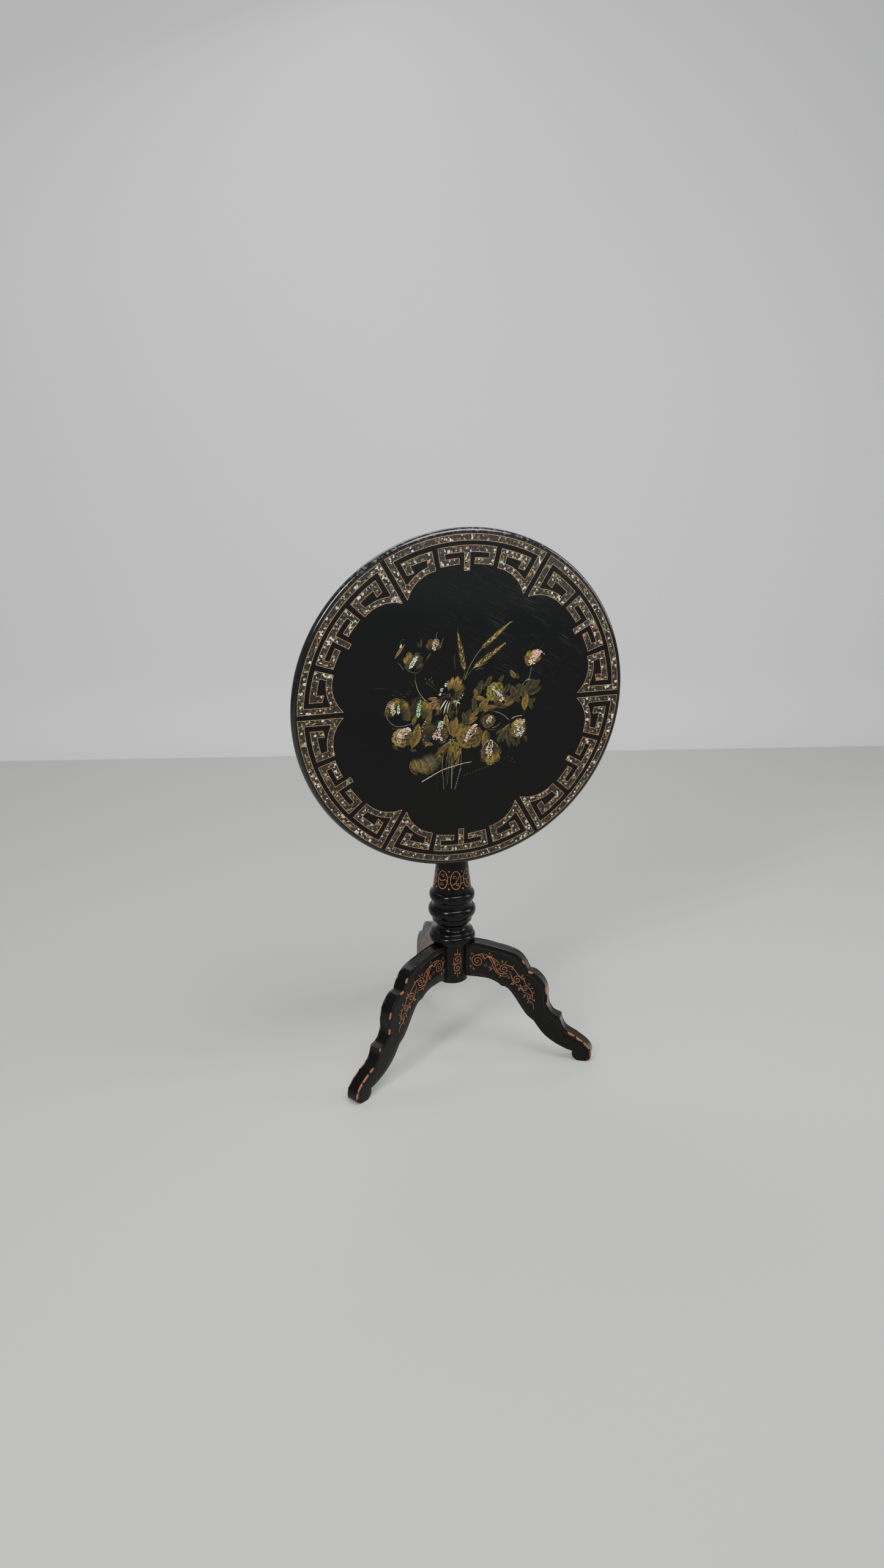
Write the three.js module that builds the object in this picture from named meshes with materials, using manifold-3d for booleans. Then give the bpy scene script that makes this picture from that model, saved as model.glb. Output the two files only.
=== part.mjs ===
// A tripod tilt-top table: a round lacquered top that swings on two pins at the front of a block,
// a turned pillar wedged up into that block, and three sawn cabriole legs dovetailed into its hub.
// Millimetres, +Z up, the face of the tipped-up top looks along -Y. The top's pieces are drawn level,
// as the table is used, in a group whose origin is the hinge line, and that group is then tipped up.
import * as THREE from 'three';
import { mergeVertices } from 'three/addons/utils/BufferGeometryUtils.js';
import Module from 'manifold-3d';

const wasm = await Module();
wasm.setup();

// ---- driving dimensions ----
const GAP = 0.3; // left between pieces that touch

const TOP_RADIUS = 300.5;
const TOP_THICKNESS = 18;
const RIM_ROUND = 7; // how far the rounded rim stands out past the flat face
const TOP_TILT = 93; // degrees from level, where the lower rim meets the pillar
const HINGE_OFFSET = 32.6; // from the pillar's axis forward to the hinge line
const HINGE_HEIGHT = 664.2;
const HINGE_DROP = 11; // from the hinge line up to the underside of the level top

const BEARER_LENGTH = 460;
const BEARER_WIDTH = 26;
const BEARER_DEPTH = 22;
const BEARER_CENTRE = 62.3; // from the middle of the top, sideways
const BEARER_SCREW_ALONG = [-148, -70, 70, 148]; // all on the part before the ends taper

const BLOCK_HALF_WIDTH = 48.8;
const BLOCK_NOSE = 10.6; // radius of the rounded front edge about the hinge line
const PIN_RADIUS = 4;
const PIN_DEPTH_IN_BLOCK = 18;

const HUB_RADIUS = 31.6;
const HUB_BOTTOM = 148;
const HUB_TOP = 226.8;
const TENON_RADIUS = 17;
const PILLAR_FACETS = 36;

const LEG_THICKNESS = 26;
const LEG_TOP = 226.4; // where the leg meets the hub
const LEG_UNDER = 157;
const TONGUE_LENGTH = 12;
const TONGUE_NECK = 13; // dovetail width at the hub's surface
const TONGUE_END = 17; // dovetail width inside the hub
const LEG_DIRECTIONS = { leg_front_left: -60, leg_front_right: 60, leg_rear: 180 };

const CATCH_TRAVEL = 6;
const BOLT_HALF_WIDTH = 6;
const BOLT_THICKNESS = 6;
const BOLT_ENGAGED = 8; // how far the bolt reaches past the strike plate's outer face
const PLATE_THICKNESS = 1.6;

// ---- finishes ----
const finish = (color, roughness, metalness) => new THREE.MeshStandardMaterial({ color, roughness, metalness });
const topLacquer = () => finish(0x0d0d0c, 0.28, 0);
const standLacquer = () => finish(0x12100e, 0.38, 0);
const bareWood = () => finish(0x3a2417, 0.6, 0);
const brass = () => finish(0xa8813c, 0.35, 1);
const iron = () => finish(0x4a4742, 0.5, 1);

// ---- helpers ----
const turn = (degrees) => THREE.MathUtils.degToRad(degrees);

function solid(geometry) {
  const bare = geometry.index ? geometry.toNonIndexed() : geometry.clone();
  bare.deleteAttribute('normal');
  bare.deleteAttribute('uv');
  const merged = mergeVertices(bare, 1e-4);
  const mesh = new wasm.Mesh({
    numProp: 3,
    vertProperties: new Float32Array(merged.attributes.position.array),
    triVerts: new Uint32Array(merged.index.array),
  });
  return new wasm.Manifold(mesh);
}

function geometryOf(manifold) {
  const mesh = manifold.getMesh();
  const geometry = new THREE.BufferGeometry();
  geometry.setAttribute('position', new THREE.BufferAttribute(new Float32Array(mesh.vertProperties), 3));
  geometry.setIndex(new THREE.BufferAttribute(new Uint32Array(mesh.triVerts), 1));
  geometry.computeVertexNormals();
  return geometry;
}

function cut(geometry, ...tools) {
  const whole = tools.reduce((left, tool) => left.subtract(solid(tool)), solid(geometry));
  return geometryOf(whole);
}

function join(geometry, ...others) {
  return geometryOf(others.reduce((left, other) => left.add(solid(other)), solid(geometry)));
}

function add(parent, name, geometry, material) {
  const mesh = new THREE.Mesh(geometry, material);
  mesh.name = name;
  parent.add(mesh);
  return mesh;
}

// a turned shape about Z from [radius, height] pairs listed upwards from the axis to the axis
function turned(profile, facets) {
  const points = profile.map(([radius, height]) => new THREE.Vector2(radius, height));
  return new THREE.LatheGeometry(points, facets).rotateX(Math.PI / 2);
}

// a box between two corners
function block(low, high) {
  const size = high.map((value, i) => value - low[i]);
  return new THREE.BoxGeometry(...size).translate(...low.map((value, i) => value + size[i] / 2));
}

// an outline in Y and Z, extruded sideways about the middle plane X = middle
function plankAcrossX(outline, width, middle) {
  const flat = new THREE.ExtrudeGeometry(new THREE.Shape(outline), { depth: width, bevelEnabled: false });
  // shape x becomes Y, shape y becomes Z, and the depth becomes X
  const axes = new THREE.Matrix4().set(0, 0, 1, 0, 1, 0, 0, 0, 0, 1, 0, 0, 0, 0, 0, 1);
  return flat.applyMatrix4(axes).translate(middle - width / 2, 0, 0);
}

// a rod along X between two places
function rodAlongX(radius, from, to, y, z, facets = 24) {
  const rod = new THREE.CylinderGeometry(radius, radius, Math.abs(to - from), facets);
  return rod.rotateZ(Math.PI / 2).translate((from + to) / 2, y, z);
}

// half of a swelling moulding between two heights, as [radius, height] pairs
function swelling(low, high, radius, steps) {
  const middle = (low[1] + high[1]) / 2;
  const rise = (high[1] - low[1]) / 2;
  const pairs = [];
  for (let i = 0; i <= steps; i += 1) {
    const angle = -Math.PI / 2 + (Math.PI * i) / steps;
    const base = angle < 0 ? low[0] : high[0];
    pairs.push([base + (radius - base) * Math.cos(angle), middle + rise * Math.sin(angle)]);
  }
  return pairs;
}

// a countersunk screw whose slotted head lies flat at the origin and whose point is at +Z
function screw(headRadius, shankRadius, length) {
  const neck = headRadius - shankRadius;
  const profile = [[0, 0], [headRadius, 0], [headRadius, 0.3], [shankRadius, 0.3 + neck]];
  profile.push([shankRadius * 0.85, length - 2 * shankRadius], [0, length]);
  const slot = block([-headRadius * 2, -headRadius * 0.13, -1], [headRadius * 2, headRadius * 0.13, headRadius * 0.25]);
  return cut(turned(profile, 12), slot);
}

// the hole that the same screw needs
function screwHole(headRadius, shankRadius, length) {
  const neck = headRadius - shankRadius;
  const room = GAP * 1.15;
  const profile = [[0, -1], [headRadius + room, -1], [headRadius + room, 0.3 + room]];
  profile.push([shankRadius + room, 0.3 + room + neck], [shankRadius + room, length + GAP], [0, length + GAP]);
  return turned(profile, 12);
}

// ---- table ----
const table = new THREE.Group();
const top = new THREE.Group();
top.position.set(0, -HINGE_OFFSET, HINGE_HEIGHT);
top.rotation.x = turn(TOP_TILT);
table.add(top);

// where things stand in the top's own group, whose origin is the hinge line
const underside = HINGE_DROP;
const topCentre = HINGE_OFFSET;
const bearerUnder = HINGE_DROP - BEARER_DEPTH;
const blockRear = 2 * HINGE_OFFSET + BLOCK_NOSE;
const bearerScrew = { head: 4.4, shank: 2.2, length: 33 };

// ---- top and bearers ----
function makeTop() {
  const flatRadius = TOP_RADIUS - RIM_ROUND;
  const rim = swelling([flatRadius, underside], [flatRadius, underside + TOP_THICKNESS], TOP_RADIUS, 8);
  const disc = turned([[0, underside], ...rim, [0, underside + TOP_THICKNESS]], 80).translate(0, topCentre, 0);
  const holes = [];
  for (const side of [-1, 1]) {
    for (const along of BEARER_SCREW_ALONG) {
      const hole = screwHole(bearerScrew.head, bearerScrew.shank, bearerScrew.length);
      holes.push(hole.translate(side * BEARER_CENTRE, topCentre + along, bearerUnder));
    }
  }
  for (const [x, y] of catchScrewPlaces()) {
    holes.push(screwHole(2.6, 1.4, 10).translate(x, y, underside - GAP - PLATE_THICKNESS));
  }
  add(top, 'table_top', cut(disc, ...holes), topLacquer());
}

function makeBearers() {
  const taper = 70;
  const tip = 9;
  const near = topCentre - BEARER_LENGTH / 2;
  const far = topCentre + BEARER_LENGTH / 2;
  const upper = underside - GAP;
  const outline = [[near, upper], [near, upper - tip], [near + taper * 0.35, upper - tip - 2]];
  outline.push([near + taper, bearerUnder], [far - taper, bearerUnder]);
  outline.push([far - taper * 0.35, upper - tip - 2], [far, upper - tip], [far, upper]);
  const points = outline.map(([y, z]) => new THREE.Vector2(y, z));
  for (const [name, side] of [['left', -1], ['right', 1]]) {
    const middle = side * BEARER_CENTRE;
    const plank = plankAcrossX(points, BEARER_WIDTH, middle);
    const pinHole = rodAlongX(PIN_RADIUS + GAP * 1.2, middle - BEARER_WIDTH, middle + BEARER_WIDTH, 0, 0);
    const holes = BEARER_SCREW_ALONG.map((along) => {
      const hole = screwHole(bearerScrew.head, bearerScrew.shank, bearerScrew.length);
      return hole.translate(middle, topCentre + along, bearerUnder);
    });
    add(top, `bearer_${name}`, cut(plank, pinHole, ...holes), bareWood());
    BEARER_SCREW_ALONG.forEach((along, i) => {
      const geometry = screw(bearerScrew.head, bearerScrew.shank, bearerScrew.length);
      const mesh = add(top, `bearer_screw_${name}_${i + 1}`, geometry, iron());
      mesh.position.set(middle, topCentre + along, bearerUnder);
      mesh.rotation.z = turn(25 + 40 * i);
    });
  }
}

// ---- spring catch under the top ----
const caseFront = blockRear + PLATE_THICKNESS + 3 * GAP + 1;
const caseLength = 46;
const caseRear = caseFront + caseLength;
const caseHalfWidth = 11;
const caseUnder = -2.2;
const flangeHalfWidth = 20;
const boltTip = blockRear + GAP + PLATE_THICKNESS - BOLT_ENGAGED;
const boltTail = caseFront + 26;
const knobPlace = caseFront + 13;

function catchScrewPlaces() {
  const places = [];
  for (const x of [-15.5, 15.5]) {
    for (const y of [caseFront + 6, caseRear - 6]) places.push([x, y]);
  }
  return places;
}

function makeCatch() {
  const roof = underside - GAP;
  const flange = block([-flangeHalfWidth, caseFront, roof - PLATE_THICKNESS], [flangeHalfWidth, caseRear, roof]);
  const box = block([-caseHalfWidth, caseFront, caseUnder], [caseHalfWidth, caseRear, roof - 0.2]);
  const wall = PLATE_THICKNESS;
  const inside = block(
    [-caseHalfWidth + wall, caseFront + wall, caseUnder + wall],
    [caseHalfWidth - wall, caseRear - wall, roof + 1],
  );
  const mouthHalf = BOLT_HALF_WIDTH + GAP * 1.2;
  const mouth = block([-mouthHalf, caseFront - 1, caseUnder + wall], [mouthHalf, caseFront + 4, BOLT_THICKNESS + GAP]);
  const knobSlot = block([-2.6, knobPlace - 2.6, caseUnder - 1], [2.6, knobPlace + CATCH_TRAVEL + 2.6, 1]);
  const holes = catchScrewPlaces().map(([x, y]) =>
    screwHole(2.6, 1.4, 10).translate(x, y, roof - PLATE_THICKNESS));
  const housing = cut(join(flange, box), inside, mouth, knobSlot, ...holes);
  add(top, 'catch_case', housing, brass());
  catchScrewPlaces().forEach(([x, y], i) => {
    const mesh = add(top, `catch_screw_${i + 1}`, screw(2.6, 1.4, 10), brass());
    mesh.position.set(x, y, roof - PLATE_THICKNESS);
    mesh.rotation.z = turn(15 + 50 * i);
  });

  // the bolt, bevelled under its nose so that it rides over the strike plate
  const bevel = 7;
  const boltOutline = [[boltTip, BOLT_THICKNESS], [boltTip, BOLT_THICKNESS - 2], [boltTip + bevel, 0]];
  boltOutline.push([boltTail, 0], [boltTail, BOLT_THICKNESS]);
  const boltPoints = boltOutline.map(([y, z]) => new THREE.Vector2(y, z));
  add(top, 'catch_bolt', plankAcrossX(boltPoints, 2 * BOLT_HALF_WIDTH, 0), brass());

  // the thumb knob under the bolt
  const knobProfile = [[0, -15], [3.6, -14.6], [5.6, -12.4], [5.6, -10.6], [3.4, -8.2], [2, -7.4], [2, -GAP], [0, -GAP]];
  add(top, 'catch_knob', turned(knobProfile, 20), brass()).position.set(0, knobPlace, 0);

  // the coil spring between the bolt's tail and the back of the case
  const coilRadius = 2.6;
  const turns = 5;
  const from = boltTail + GAP + 0.5;
  const to = caseRear - PLATE_THICKNESS - GAP - 0.5;
  const coil = new THREE.CatmullRomCurve3(
    Array.from({ length: turns * 8 + 1 }, (_, i) => {
      const angle = (i / 8) * 2 * Math.PI;
      const along = from + ((to - from) * i) / (turns * 8);
      return new THREE.Vector3(coilRadius * Math.cos(angle), along, 3 + coilRadius * Math.sin(angle));
    }),
  );
  const wire = new THREE.Shape().absarc(0, 0, 0.45, 0, 2 * Math.PI);
  const spring = new THREE.ExtrudeGeometry(wire, { steps: turns * 10, extrudePath: coil, curveSegments: 5 });
  add(top, 'catch_spring', spring, iron());
}

// ---- block, pins and strike plate ----
function makeBlock() {
  const upper = underside - GAP;
  const outline = new THREE.Shape();
  outline.moveTo(blockRear, bearerUnder);
  outline.lineTo(blockRear, upper);
  outline.lineTo(0, upper);
  outline.absarc(0, 0, BLOCK_NOSE, Math.PI / 2, (Math.PI * 3) / 2, false);
  outline.lineTo(0, bearerUnder);
  outline.closePath();
  const plank = plankAcrossX(outline.getPoints(6), 2 * BLOCK_HALF_WIDTH, 0);
  const tenonHole = new THREE.CylinderGeometry(TENON_RADIUS + GAP, TENON_RADIUS + GAP, 60, PILLAR_FACETS);
  tenonHole.rotateX(Math.PI / 2).translate(0, HINGE_OFFSET, 0);
  const pinEnd = BLOCK_HALF_WIDTH - PIN_DEPTH_IN_BLOCK - GAP;
  const pinHoles = [-1, 1].map((side) => rodAlongX(PIN_RADIUS + GAP * 1.2, side * pinEnd, side * 60, 0, 0));
  const mortiseHalf = BOLT_HALF_WIDTH + 0.8;
  const mortise = block([-mortiseHalf, boltTip - 2, -1], [mortiseHalf, blockRear + 1, BOLT_THICKNESS + 1]);
  const screwHoles = strikeScrewPlaces().map((x) => strikeScrewTool(screwHole(2.2, 1.3, 10), x));
  const geometry = cut(plank, tenonHole, ...pinHoles, mortise, ...screwHoles);
  const mesh = add(table, 'hinge_block', geometry, bareWood());
  mesh.position.set(0, -HINGE_OFFSET, HINGE_HEIGHT);

  for (const [name, side] of [['left', -1], ['right', 1]]) {
    const outer = BEARER_CENTRE + BEARER_WIDTH / 2 - 1;
    const pin = rodAlongX(PIN_RADIUS, side * (pinEnd + GAP), side * outer, 0, 0, 24);
    add(table, `pivot_pin_${name}`, pin, iron()).position.set(0, -HINGE_OFFSET, HINGE_HEIGHT);
  }
}

function strikeScrewPlaces() {
  return [-12.5, 12.5];
}

// a screw or its hole, driven forward into the back of the block through the strike plate
function strikeScrewTool(geometry, x) {
  return geometry.rotateX(Math.PI / 2).translate(x, blockRear + GAP + PLATE_THICKNESS, 3);
}

function makeStrike() {
  const face = blockRear + GAP;
  const plate = block([-17.5, face, -7], [17.5, face + PLATE_THICKNESS, 9.5]);
  const slotHalf = BOLT_HALF_WIDTH + 0.5;
  const slot = block([-slotHalf, face - 1, -0.6], [slotHalf, face + PLATE_THICKNESS + 1, BOLT_THICKNESS + 0.6]);
  const holes = strikeScrewPlaces().map((x) => strikeScrewTool(screwHole(2.2, 1.3, 10), x));
  const place = [0, -HINGE_OFFSET, HINGE_HEIGHT];
  add(table, 'strike_plate', cut(plate, slot, ...holes), brass()).position.set(...place);
  strikeScrewPlaces().forEach((x, i) => {
    const geometry = strikeScrewTool(screw(2.2, 1.3, 10), x);
    add(table, `strike_screw_${i + 1}`, geometry, brass()).position.set(...place);
  });
}

// ---- pillar ----
function dovetail(room) {
  // a prism across the leg, from inside the hub to just past its surface
  const inner = HUB_RADIUS - TONGUE_LENGTH - room;
  const outer = HUB_RADIUS + 1.5;
  const slope = (TONGUE_END - TONGUE_NECK) / 2 / TONGUE_LENGTH;
  const innerHalf = TONGUE_END / 2 + room;
  const outerHalf = innerHalf - slope * (outer - inner);
  const outline = [[inner, -innerHalf], [outer, -outerHalf], [outer, outerHalf], [inner, innerHalf]];
  return new THREE.Shape(outline.map(([x, y]) => new THREE.Vector2(x, y)));
}

function makePillar() {
  const shoulder = HINGE_HEIGHT - HINGE_DROP - GAP;
  const profile = [
    [0, HUB_BOTTOM],
    [HUB_RADIUS, HUB_BOTTOM],
    [HUB_RADIUS, HUB_TOP],
    ...swelling([38, HUB_TOP], [39, 243.6], 44.2, 6),
    [40.1, 246],
    [39, 249.5],
    [31.5, 252.5],
    [28.7, 258.5],
    [30.5, 264.5],
    [36.6, 268],
    [37.3, 273.5],
    ...swelling([37.5, 278], [38.2, 299.5], 44.7, 7),
    [37.4, 304.5],
    ...swelling([38.2, 310], [36.4, 328.5], 42.7, 6),
    [36.2, 333],
    [32.6, 358],
    [30.4, 380],
    [29.5, 402],
    [27.4, 470],
    [25.4, 540],
    ...swelling([25.2, 546], [25.2, 560], 31.4, 5),
    [24, 566],
    [22.4, 590],
    [24.2, 612],
    ...swelling([25.6, 618], [26.5, 630], 31, 4),
    [28.4, 634],
    [34.8, 641],
    [36.2, shoulder],
    [TENON_RADIUS, shoulder],
    [TENON_RADIUS, HINGE_HEIGHT + underside - 2 * GAP],
    [0, HINGE_HEIGHT + underside - 2 * GAP],
  ];
  const slots = Object.values(LEG_DIRECTIONS).map((direction) => {
    const depth = LEG_TOP - HUB_BOTTOM - 4 + GAP + 1;
    const slot = new THREE.ExtrudeGeometry(dovetail(GAP), { depth, bevelEnabled: false });
    return slot.rotateZ(turn(direction - 90)).translate(0, 0, HUB_BOTTOM - 1);
  });
  const wedgeRoom = wedge(GAP);
  const plateHoles = plateScrewPlaces().map(([x, y]) =>
    screwHole(3.4, 1.9, 16).translate(x, y, HUB_BOTTOM - GAP - 2.5));
  add(table, 'pillar', cut(turned(profile, PILLAR_FACETS), ...slots, wedgeRoom, ...plateHoles), standLacquer());
  add(table, 'tenon_wedge', wedge(0), bareWood());
}

// the wedge driven down into the tenon's saw cut
function wedge(room) {
  const upper = HINGE_HEIGHT + underside - 2 * GAP + (room > 0 ? 1 : 0);
  const lower = HINGE_HEIGHT - 10 - room;
  const outline = [[-1 - room, lower], [1 + room, lower], [2.1 + room, upper], [-2.1 - room, upper]];
  const shape = new THREE.Shape(outline.map(([x, z]) => new THREE.Vector2(x, z)));
  const length = 30 + 2 * room;
  const slab = new THREE.ExtrudeGeometry(shape, { depth: length, bevelEnabled: false });
  return slab.rotateX(Math.PI / 2).translate(0, length / 2, 0);
}

// ---- hub plate ----
function plateScrewPlaces() {
  return [0, 120, 240].map((direction) => [17 * Math.sin(turn(direction)), -17 * Math.cos(turn(direction))]);
}

function makeHubPlate() {
  const upper = HUB_BOTTOM - GAP;
  const thickness = 2.5;
  const disc = new THREE.CylinderGeometry(27, 27, thickness, 30).rotateX(Math.PI / 2);
  disc.translate(0, 0, upper - thickness / 2);
  const holes = plateScrewPlaces().map(([x, y]) => screwHole(3.4, 1.9, 16).translate(x, y, upper - thickness));
  add(table, 'hub_plate', cut(disc, ...holes), iron());
  plateScrewPlaces().forEach(([x, y], i) => {
    const mesh = add(table, `hub_plate_screw_${i + 1}`, screw(3.4, 1.9, 16), iron());
    mesh.position.set(x, y, upper - thickness);
    mesh.rotation.z = turn(20 + 45 * i);
  });
}

// ---- legs ----
// runs of the leg's outline between its cusps: [distance from the pillar's axis, height]
const legRuns = [
  // along the top: from the hub over the knee to the first cusp
  [[46, LEG_TOP], [67, 224.3], [88, 219.9], [109, 215.4], [126, 208.3], [138.6, 197], [149, 177]],
  // the second swelling, down the shin to the ankle cusp
  [[149, 177], [160, 173.4], [172.3, 163], [181.6, 148], [184.8, 132], [185.2, 118], [188.6, 104], [197, 92.6], [210.8, 87]],
  // over the instep and round the scroll toe
  [[210.8, 87], [212.2, 78.5], [216.6, 67.6], [223.4, 60], [238, 52], [253, 42], [265.4, 30.6], [271.3, 17], [269.4, 5.5], [262, 0]],
  // the back of the toe
  [[244, 0], [237, 5.4], [234, 12], [234.2, 18.6]],
  // along the underside: ankle, shin and the cusp under the knee
  [[234.2, 18.6], [220.5, 23], [199.4, 33.5], [182.5, 45.8], [169.6, 60.4], [160, 75]],
  [[160, 75], [146.6, 86], [135.5, 101.3], [124.8, 118.5], [114.4, 133.2], [105.6, 140.6], [97, 142.4]],
  [[97, 142.4], [88.8, 149], [72.2, 155.4], [51.2, LEG_UNDER]],
];

function legOutline() {
  const shape = new THREE.Shape();
  const start = HUB_RADIUS - 5;
  shape.moveTo(start, LEG_UNDER);
  shape.lineTo(start, LEG_TOP);
  for (const run of legRuns) {
    shape.lineTo(...run[0]);
    shape.splineThru(run.slice(1).map(([x, z]) => new THREE.Vector2(x, z)));
  }
  return new THREE.Shape(thinned(shape));
}

// one point for every two that the splines are given, and every cusp
function thinned(shape) {
  const points = [];
  for (const curve of shape.curves) {
    const count = curve.isSplineCurve ? Math.round(curve.points.length * 1.5) : 1;
    curve.getPoints(count).forEach((point) => {
      if (points.length === 0 || points[points.length - 1].distanceTo(point) > 0.2) points.push(point);
    });
  }
  return points;
}

function makeLegs() {
  for (const [name, direction] of Object.entries(LEG_DIRECTIONS)) {
    const flat = new THREE.ExtrudeGeometry(legOutline(), { depth: LEG_THICKNESS, bevelEnabled: false });
    const body = flat.rotateX(Math.PI / 2).translate(0, LEG_THICKNESS / 2, 0);
    const hub = new THREE.CylinderGeometry(HUB_RADIUS + GAP, HUB_RADIUS + GAP, 300, PILLAR_FACETS * 2);
    hub.rotateX(Math.PI / 2).translate(0, 0, HUB_BOTTOM);
    const height = LEG_TOP - 5 - LEG_UNDER - 1;
    const tongue = new THREE.ExtrudeGeometry(dovetail(0), { depth: height, bevelEnabled: false });
    tongue.translate(0, 0, LEG_UNDER + 1);
    const leg = join(cut(body, hub), tongue);
    add(table, name, leg, standLacquer()).rotation.z = turn(direction - 90);
  }
}

makeTop();
makeBearers();
makeCatch();
makeBlock();
makeStrike();
makePillar();
makeHubPlate();
makeLegs();

// the origin is on the floor under the middle of the table's box, measured from the toes
const toeReach = Math.max(...legRuns.flat().map(([distance]) => distance));
const frontReach = toeReach * Math.cos(turn(60)) + (LEG_THICKNESS / 2) * Math.sin(turn(60));
table.position.y = -(toeReach - frontReach) / 2;

const model = new THREE.Group();
model.add(table);
model.updateMatrixWorld(true);

export default model;
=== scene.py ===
"""The looks of a lacquered tilt top table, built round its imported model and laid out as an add-on."""

import math
import random

import bmesh
import bpy
import numpy as np
from bpy.props import FloatProperty, FloatVectorProperty, IntProperty, PointerProperty
from mathutils import Matrix, Vector


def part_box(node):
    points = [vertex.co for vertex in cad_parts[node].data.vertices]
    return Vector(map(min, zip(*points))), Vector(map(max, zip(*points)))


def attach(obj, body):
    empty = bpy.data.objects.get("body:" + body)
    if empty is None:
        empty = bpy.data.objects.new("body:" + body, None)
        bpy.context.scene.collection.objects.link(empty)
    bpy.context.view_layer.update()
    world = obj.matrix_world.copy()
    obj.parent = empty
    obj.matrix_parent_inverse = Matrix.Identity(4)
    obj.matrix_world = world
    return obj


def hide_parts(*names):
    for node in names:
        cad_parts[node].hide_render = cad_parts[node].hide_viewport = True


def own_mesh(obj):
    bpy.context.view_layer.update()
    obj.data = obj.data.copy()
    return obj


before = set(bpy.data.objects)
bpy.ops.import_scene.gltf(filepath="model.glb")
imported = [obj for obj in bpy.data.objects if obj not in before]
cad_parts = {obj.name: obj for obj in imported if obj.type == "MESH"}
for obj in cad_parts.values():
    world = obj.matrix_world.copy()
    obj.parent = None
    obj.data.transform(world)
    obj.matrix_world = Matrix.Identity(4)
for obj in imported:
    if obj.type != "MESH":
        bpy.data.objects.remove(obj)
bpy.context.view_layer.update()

bl_info = {
    "name": "Lacquered Tilt Top Table",
    "version": (1, 0, 0),
    "blender": (4, 5, 0),
    "location": "View3D > Sidebar > Table",
    "description": "Builds the top, its border and bouquet, the pillar, the legs and the fittings",
    "category": "Object",
}

MM = 0.001
LEG_TURNS = {"leg_front_left": -60, "leg_front_right": 60, "leg_rear": 180}


def middle(name):
    low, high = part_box(name)
    return (low + high) / 2


AXIS = middle("pillar")
HINGE = middle("pivot_pin_left")
TILT = math.radians(3)  # how far the tipped top leans past upright
FACE_NORMAL = Vector((0, -math.cos(TILT), -math.sin(TILT)))
FACE_UP = Vector((0, -math.sin(TILT), math.cos(TILT)))
HINGE_TO_FACE = 0.029
HINGE_TO_MIDDLE = 0.0326


def face_placement():
    """The top's own frame: X to the right, Y up the face, Z out of it, from the middle of the face."""
    origin = Vector((0, HINGE.y, HINGE.z)) + FACE_UP * HINGE_TO_MIDDLE + FACE_NORMAL * HINGE_TO_FACE
    turned = Matrix((Vector((1, 0, 0)), FACE_UP, FACE_NORMAL)).transposed()
    return Matrix.Translation(origin) @ turned.to_4x4()


def leg_placement(degrees):
    """A leg's own frame: X out along the leg, Y across it, Z up, from the foot of the pillar's axis."""
    turned = Matrix.Rotation(math.radians(degrees - 90), 4, "Z")
    return Matrix.Translation((AXIS.x, AXIS.y, 0)) @ turned


PILLAR_PLACEMENT = Matrix.Translation((AXIS.x, AXIS.y, 0))


# ---------------------------------------------------------------- meshes


def place_object(name, data, placement=None):
    """A new object in the scene, at its placement where one is given."""
    obj = bpy.data.objects.new(name, data)
    bpy.context.scene.collection.objects.link(obj)
    if placement is not None:
        obj.matrix_world = placement
    return obj


def closed_mesh(name, verts, faces):
    """A mesh from points in millimetres, with its faces turned outwards."""
    mesh = bpy.data.meshes.new(name)
    mesh.from_pydata([tuple(c * MM for c in v) for v in verts], [], faces)
    edit = bmesh.new()
    edit.from_mesh(mesh)
    bmesh.ops.recalc_face_normals(edit, faces=edit.faces)
    edit.to_mesh(mesh)
    edit.free()
    return mesh


def build(name, verts, faces, placement, body, material, colours=None, values=None, sharp=35.0):
    """Makes a closed piece, with a tint or a wear value for each point, and puts it on its body."""
    mesh = closed_mesh(name, verts, faces)
    if colours is not None:
        layer = mesh.attributes.new("tint", "FLOAT_COLOR", "POINT")
        layer.data.foreach_set("color", [c for tint in colours for c in (*tint, 1.0)])
    if values is not None:
        layer = mesh.attributes.new("wear", "FLOAT", "POINT")
        layer.data.foreach_set("value", values)
    mesh.shade_smooth()
    mesh.set_sharp_from_angle(angle=math.radians(sharp))
    mesh.materials.append(material)
    obj = place_object(name, mesh, placement)
    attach(obj, body)
    return obj


def spline(points, step):
    """Points evenly spaced along a smooth curve through the given ones."""
    pts = np.array(points, float)
    if len(pts) == 2:
        count = max(1, round(float(np.linalg.norm(pts[1] - pts[0])) / step))
        return [tuple(pts[0] + (pts[1] - pts[0]) * i / count) for i in range(count + 1)]
    padded = np.vstack([2 * pts[0] - pts[1], pts, 2 * pts[-1] - pts[-2]])
    dense = []
    for i in range(1, len(padded) - 2):
        a, b, c, d = padded[i - 1 : i + 3]
        for t in np.linspace(0, 1, 16, endpoint=False):
            dense.append(
                0.5 * (2 * b + (c - a) * t + (2 * a - 5 * b + 4 * c - d) * t * t
                       + (3 * b - a - 3 * c + d) * t**3)
            )
    dense.append(pts[-1])
    dense = np.array(dense)
    along = np.concatenate([[0], np.cumsum(np.linalg.norm(np.diff(dense, axis=0), axis=1))])
    count = max(2, round(along[-1] / step))
    wanted = np.linspace(0, along[-1], count + 1)
    return [tuple(np.interp(w, along, dense[:, k]) for k in range(dense.shape[1])) for w in wanted]


def arc(cx, cy, radius, start, end, step=3.0):
    """Points on a circle between two angles in degrees, counted from +X."""
    count = max(2, round(abs(end - start) * math.pi / 180 * radius / step))
    turns = [math.radians(start + (end - start) * i / count) for i in range(count + 1)]
    return [(cx + radius * math.cos(a), cy + radius * math.sin(a)) for a in turns]


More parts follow.
